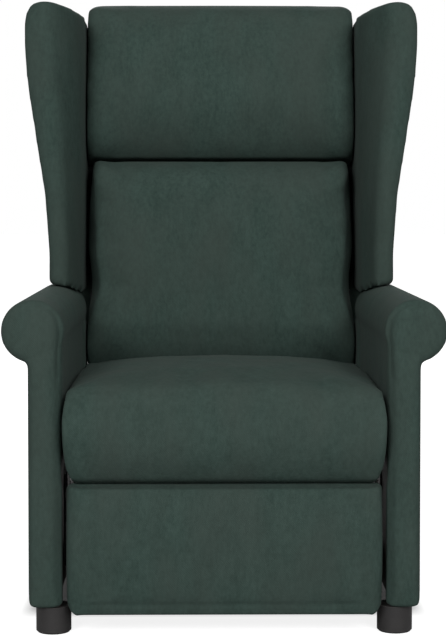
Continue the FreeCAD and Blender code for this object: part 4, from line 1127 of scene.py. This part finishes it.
@dataclass
class SeatCushion(Cushion):
    """The seat with its padded front drop."""

    voxel: float = 0.008
    softness: float = 0.3
    drop_depth: float = 0.045
    frame_height: float = 0.12
    underside: float = -0.7
    side_swell: float = 0.005
    front_swell: float = 0.004
    front_ends: Ends = (-0.376, -0.388)
    settling: float = 0.003
    middle_settling: float = 0.010
    rear_settling: float = 0.004
    rear_start: float = -0.1
    top_ends: Ends = (0.36, 0.40)
    tuck: float = 0.020
    tuck_top: float = 0.34
    tuck_depths: Ends = (0.05, 0.02)

    def held(self, points: np.ndarray, normals: np.ndarray) -> np.ndarray:
        """See Cushion.held: the underside over the springs, and the drop's rear."""
        low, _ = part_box(self.node)
        behind_drop = points[:, 1] > low.y + self.drop_depth
        over_frame = behind_drop & (points[:, 2] < low.z + self.frame_height)
        return over_frame | (normals[:, 2] < self.underside)

    def fitted(self, points: np.ndarray) -> np.ndarray:
        """See Cushion.fitted: the arms press its sides flat behind their fronts."""
        low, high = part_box(self.node)
        fitted = points.copy()
        fitted[:, 0] = Reach(low.x, high.x, self.side_swell, self.side_swell).fit(points[:, 0])
        ahead = ramp(points[:, 1], *self.front_ends)
        aside = np.clip(np.abs(fitted[:, 0]) / high.x, 0, 1) ** 8
        fitted[:, 0] += np.sign(fitted[:, 0]) * ahead * self.front_swell * aside
        fitted[:, 1] = Reach(low.y, high.y).fit(points[:, 1])
        fitted[:, 2] = Reach(low.z, high.z).fit(points[:, 2])
        return fitted

    def finish_form(self, piece: Mesh) -> None:
        """See Cushion.finish_form: sides out again, top settled, drop tucked in."""
        low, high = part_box(self.node)
        points = points_of(piece)
        points[:, 0] = self.fitted(points)[:, 0]
        middle = 1 - np.clip(np.abs(points[:, 0]) / high.x, 0, 1) ** 2
        settled = self.settling + self.middle_settling * middle
        settled += self.rear_settling * eased(points[:, 1], self.rear_start, high.y)
        points[:, 2] -= settled * eased(points[:, 2], *self.top_ends)
        start, end = self.tuck_depths
        front = ramp(points[:, 1], low.y + start, low.y + end)
        points[:, 1] += self.tuck * front * ramp(points[:, 2], self.tuck_top, low.z) ** 2
        move_points(piece, points)


@dataclass
class BackCushion(Cushion):
    """A cushion of the back, lying on the webbing."""

    back: BackFrame | None = None
    on_top: bool = False
    voxel: float = 0.008
    rear_layer: float = 0.004
    motor_spread: float = 0.095
    motor_height: float = 0.190
    motor_half: float = 0.034
    pocket_depth: float = 0.036
    side_swell: float = 0.007
    edge_swell: float = 0.012
    edge_soft: float = 0.003
    side_play: float = 0.0005
    front_play: float = 0.001
    edge_play: float = 0.0012
    rise: float = 0.005
    low_fill: float = 0.05
    low_ends: Ends = (0.20, 0.12)
    corner: float = 0.028
    turn_in: float = 0.028
    turn_height: float = 0.12
    wing_half: float = 0.2555
    roll_top: float = 0.531
    wing_rise: float = 0.07

    def held(self, points: np.ndarray, normals: np.ndarray) -> np.ndarray:
        """See Cushion.held: the rear, and the pockets round the motors."""
        depth = self.back.depths(points)
        rearmost = depth.max()
        pocket = depth > rearmost - self.pocket_depth
        pocket &= np.abs(np.abs(points[:, 0]) - self.motor_spread) < self.motor_half
        pocket &= np.abs(self.back.heights(points) - self.motor_height) < self.motor_half
        return (depth > rearmost - self.rear_layer) | pocket

    def fitted(self, points: np.ndarray) -> np.ndarray:
        """See Cushion.fitted: the wings and the other cushion press it flat."""
        start = points_of(frame["nodes"][self.node])
        depth, height = self.back.depths(start), self.back.heights(start)
        half = np.abs(start[:, 0]).max() + self.side_play
        across = Reach(-half, half, self.side_swell, self.side_swell)
        deep = Reach(depth.min() - self.front_play, depth.max())
        low, high = height.min(), height.max()
        aside = points[:, 0]
        if self.on_top:
            low, high = low - self.edge_play, high + self.rise
            tall = Reach(low, high, self.edge_swell, 0.0, self.edge_soft)
        else:
            tall = Reach(low, high + self.edge_play, 0.0, self.edge_swell, self.edge_soft)
            near_foot = eased(self.back.heights(points), *self.low_ends)
            aside = aside * (1 + self.low_fill * near_foot)
        x = across.fit(aside)
        out = deep.fit(self.back.depths(points))
        up = tall.fit(self.back.heights(points))
        if self.on_top:
            x, up = self.rounded(x, up, half, tall.high)
        share = ramp(up, tall.low + self.turn_height, tall.low)
        out += self.turn_in * ramp(out, deep.high, deep.low) * share**2
        fitted = np.array(self.back.hinge)
        fitted = fitted + out[:, None] * np.array(self.back.rearward)
        fitted = fitted + up[:, None] * np.array(self.back.upward)
        between_wings = eased(fitted[:, 2], self.roll_top, self.roll_top + self.wing_rise)
        fitted[:, 0] = x * (1 + between_wings * (self.wing_half / half - 1))
        return fitted

    def rounded(
        self, x: np.ndarray, up: np.ndarray, half: float, top: float
    ) -> tuple[np.ndarray, np.ndarray]:
        """The cushion's upper corners, rounded off.

        Args:
            x: Places across the back.
            up: Heights along the back.
            half: Half the cushion's width.
            top: The cushion's upper edge.

        Returns:
            The new places and heights.
        """
        aside = np.maximum(np.abs(x) - (half - self.corner), 0)
        above = np.maximum(up - (top - self.corner), 0)
        cut = 1 - self.corner / np.maximum(np.hypot(aside, above), self.corner)
        return x - np.sign(x) * aside * cut, up - above * cut


@dataclass
class FootrestPad(Cushion):
    """The footrest's flat padding over its board."""

    cap: float = 0.008
    softness: float = 0.4
    rear_layer: float = 0.008
    rise: float = 0.0034
    drop: float = 0.011
    half: float = 0.2505
    corner: float = 0.034

    def held(self, points: np.ndarray, normals: np.ndarray) -> np.ndarray:
        """See Cushion.held: the rear, on the board."""
        return points[:, 1] > points[:, 1].max() - self.rear_layer

    def fitted(self, points: np.ndarray) -> np.ndarray:
        """See Cushion.fitted: it keeps its outline, with its lower corners rounded."""
        low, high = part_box(self.node)
        high.z += self.rise
        low.z -= self.drop
        low.x, high.x = -self.half, self.half
        fitted = points.copy()
        for axis in range(3):
            fitted[:, axis] = Reach(low[axis], high[axis]).fit(points[:, axis])
        aside = np.maximum(np.abs(fitted[:, 0]) - (self.half - self.corner), 0)
        below = np.maximum(low.z + self.corner - fitted[:, 2], 0)
        cut = 1 - self.corner / np.maximum(np.hypot(aside, below), self.corner)
        fitted[:, 0] -= np.sign(fitted[:, 0]) * aside * cut
        fitted[:, 2] += below * cut
        return fitted


@dataclass
class TautCover(SoftPiece):
    """Firm padding under a cover that is pulled tight."""

    def shape(self, piece: Mesh) -> None:
        """Lay the cover over the solid and ease its edges."""
        move_points(piece, Solid(frame["nodes"][self.node]).nearest(points_of(piece)))
        relax(piece, 2, 0.5)


@dataclass
class Wing(TautCover):
    """A wing whose foot lies on the arm's roll."""

    roll_x: float = 0.302
    roll_z: float = 0.481
    roll_radius: float = 0.050
    clearance: float = 0.0015
    gap: float = 0.005
    reach_ends: Ends = (0.004, 0.001)
    slope_start: float = 0.305
    slope_width: float = 0.045
    slope_drop: float = 0.007
    slope_height: float = 0.06

    def shape(self, piece: Mesh) -> None:
        """See TautCover.shape, then let the foot down and slope the top inwards."""
        super().shape(piece)
        points = points_of(piece)
        self.let_down(points, np.sign(points[:, 0].mean()))
        top = points[:, 2].max()
        inner = ramp(np.abs(points[:, 0]), self.slope_start, self.slope_start - self.slope_width)
        near_top = eased(points[:, 2], top - self.slope_height, top)
        points[:, 2] -= self.slope_drop * inner * near_top
        move_points(piece, points)

    def let_down(self, points: np.ndarray, side: float) -> None:
        """Move the foot's points towards the roll's axis.

        Args:
            points: The wing's vertices, changed in place.
            side: The side of the chair, -1 or 1.
        """
        across = points[:, 0] - side * self.roll_x
        above = points[:, 2] - self.roll_z
        reach = np.hypot(across, above)
        edge = self.roll_radius + self.gap
        near = ramp(reach, edge + self.reach_ends[0], edge + self.reach_ends[1])
        shorter = reach - near * (self.gap - self.clearance)
        shorter = np.maximum(shorter, self.roll_radius + self.clearance)
        scale = np.where(near > 0, shorter / reach, 1.0)
        points[:, 0] = side * self.roll_x + across * scale
        points[:, 2] = self.roll_z + above * scale


@dataclass
class Arm(TautCover):
    """An arm with its roll, padded round in front and out to the back cushion."""

    inner_x: float = 0.256
    edge_width: float = 0.027
    edge_depth: float = 0.007
    front_depth: float = 0.03
    roll_x: float = 0.302
    roll_z: float = 0.481
    roll_radius: float = 0.046
    post_x: float = 0.284
    post_half: float = 0.026
    post_top: Ends = (0.46, 0.42)
    post_foot: Ends = (0.045, 0.08)
    puff: float = 0.004
    puff_depths: Ends = (0.006, 0.002)
    low_puff: float = 0.0032
    low_width: float = 0.004
    low_front: Ends = (-0.335, -0.350)
    low_top: Ends = (0.25, 0.23)
    rear_puff: float = 0.007
    rear_inner: float = 0.2518
    rear_widths: Ends = (0.022, 0.014)
    rear_start: Ends = (0.10, 0.13)
    rear_foot: Ends = (0.33, 0.36)
    rear_top: Ends = (0.47, 0.445)

    def finish_form(self, piece: Mesh) -> None:
        """See SoftPiece.finish_form: pad its front and its inner face."""
        points = points_of(piece)
        self.pad_front(points)
        self.pad_inside(points)
        move_points(piece, points)

    def pad_front(self, points: np.ndarray) -> None:
        """Round the front panel and ease it back towards the seat, in place."""
        front = points[:, 1].min()
        across, _, z = np.abs(points).T
        edge = ramp(across, self.inner_x + self.edge_width, self.inner_x)
        ahead = ramp(points[:, 1], front + self.front_depth, front)
        points[:, 1] += self.edge_depth * edge**2 * ahead
        from_roll = np.hypot(across - self.roll_x, z - self.roll_z) / self.roll_radius
        from_post = np.abs(across - self.post_x) / self.post_half
        post = np.clip(1 - from_post**2, 0, 1)
        post = post * eased(z, *self.post_top) * eased(z, *self.post_foot)
        full = np.maximum(np.clip(1 - from_roll**2, 0, 1), post)
        start, end = self.puff_depths
        points[:, 1] -= self.puff * full * eased(points[:, 1], front + start, front + end)

    def pad_inside(self, points: np.ndarray) -> None:
        """Bring the inner face out beside the footrest and the back cushion, in place."""
        side = np.sign(points[:, 0])
        across, z = np.abs(points[:, 0]), points[:, 2]
        inner = ramp(across, self.inner_x + self.low_width, self.inner_x)
        inner = inner * eased(points[:, 1], *self.low_front) * eased(z, *self.low_top)
        across = across - self.low_puff * inner
        first, last = self.rear_widths
        beside_back = ramp(across, self.inner_x + first, self.inner_x + last)
        beside_back = beside_back * eased(points[:, 1], *self.rear_start)
        beside_back = beside_back * eased(z, *self.rear_foot) * eased(z, *self.rear_top)
        nearer = across - self.rear_puff * beside_back
        nearer = np.maximum(nearer, np.minimum(across, self.rear_inner))
        points[:, 0] = side * nearer


ARM_CREASE = (
    (-0.329, -0.3765, 0.524),
    (-0.306, -0.3765, 0.529),
    (-0.288, -0.3765, 0.528),
    (-0.270, -0.3765, 0.521),
    (-0.257, -0.374, 0.506),
    (-0.252, -0.372, 0.481),
    (-0.253, -0.372, 0.429),
    (-0.257, -0.374, 0.396),
)


ARM_HEM = ((-0.3215, -0.372, 0.062), (-0.3215, -0.05, 0.062), (-0.3215, 0.24, 0.062))
WING_SEAM = (
    (-0.355, 0.10, 0.56),
    (-0.36, 0.12, 0.70),
    (-0.37, 0.14, 0.85),
    (-0.38, 0.17, 0.98),
    (-0.36, 0.20, 1.04),
)
FOOTREST_HEM = ((-0.225, -0.40, 0.047), (0.0, -0.40, 0.047), (0.225, -0.40, 0.047))
COVER_HALF = (
    (-0.235, 0.45, 0.30),
    (-0.235, 0.45, 0.46),
    (-0.285, 0.45, 0.47),
    (-0.285, 0.50, 1.01),
)
COVER_SEAM = COVER_HALF + mirrored(COVER_HALF, Side.RIGHT)[::-1]


@dataclass(frozen=True)
class Upholstery:
    """All the stuffed pieces of the chair."""

    back: BackFrame

    def cushions(self) -> list[SoftPiece]:
        """The pieces on the middle plane, not yet made."""
        back = self.back
        hem = Seam(FOOTREST_HEM, 0.0015, 0.004, 0.01)
        outline = Seam(COVER_SEAM, 0.0018, 0.004)
        return [
            SeatCushion("seat_upholstery", "seat_cushion", "seat", 0.8),
            BackCushion("lumbar_upholstery", "lumbar_cushion", "back", 0.75, back=back),
            BackCushion("head_upholstery", "head_cushion", "back", 0.7, back=back, on_top=True),
            FootrestPad("footrest_upholstery", "footrest_pad", "footrest", 0.9, seams=(hem,)),
            TautCover("rear_upholstery", "back_cover", "back", 0.9, seams=(outline,)),
        ]

    def sides(self, side: Side) -> list[SoftPiece]:
        """The wing and the arm of one side, not yet made."""
        edge = Seam(mirrored(WING_SEAM, side), 0.0018, 0.004, 0.01)
        crease = Seam(mirrored(ARM_CREASE, side), 0.003, 0.006, 0.03)
        hem = Seam(mirrored(ARM_HEM, side), 0.001, 0.004, 0.02)
        wing, arm = f"{side.word}_wing", f"{side.word}_arm"
        return [
            Wing(f"{wing}_upholstery", wing, "back", 0.9, seams=(edge,)),
            Arm(f"{arm}_upholstery", f"{arm}_pad", "base", 0.95, seams=(crease, hem)),
        ]

    def build(self, wardrobe: Wardrobe) -> None:
        """Make every stuffed piece.

        Args:
            wardrobe: The finishes.
        """
        for plan in self.cushions() + self.sides(Side.LEFT) + self.sides(Side.RIGHT):
            plan.build(wardrobe)


# Rigid pieces
FINISH_OF = {
    "arm_board": "ply_x",
    "footrest_board": "ply_y",
    "cross_rail": "timber_x",
    "front_seat_rail": "timber_x",
    "rear_seat_rail": "timber_x",
    "back_rail": "timber_x",
    "seat_rail": "timber_y",
    "stile": "timber_z",
    # The wing rails take the near-black cloth, partly painted shade for the slits beside the back
    # cushions.
    "wing_rail": "lining_and_painted_shade",
    "feet": "foot",
    "control_box": "housing",
    "base_plate": "plate",
    "bracket": "plate",
    "link": "link",
    "cross_tube": "link",
    "springs": "spring",
    "motor_cases": "motor",
    "rotor": "rotor",
    "webbing": "webbing",
}


def dress_frame(wardrobe: Wardrobe) -> None:
    """Give every node the finish of the first part name that its own name holds.

    Args:
        wardrobe: The finishes.
    """
    for name, node in frame["nodes"].items():
        finish = next((kind for part, kind in FINISH_OF.items() if part in name), "cloth")
        wardrobe.dress(node, finish)


def main() -> None:
    """Build the studio, the finishes and the chair's pieces in order."""
    logging.basicConfig(level=logging.INFO, format="%(message)s")
    bpy.context.scene.view_settings.view_transform = "Standard"
    wardrobe = Wardrobe()
    back = BackFrame(hinge_place())
    Studio().build()
    dress_frame(wardrobe)
    Upholstery(back).build(wardrobe)


if __name__ == "__main__":
    main()
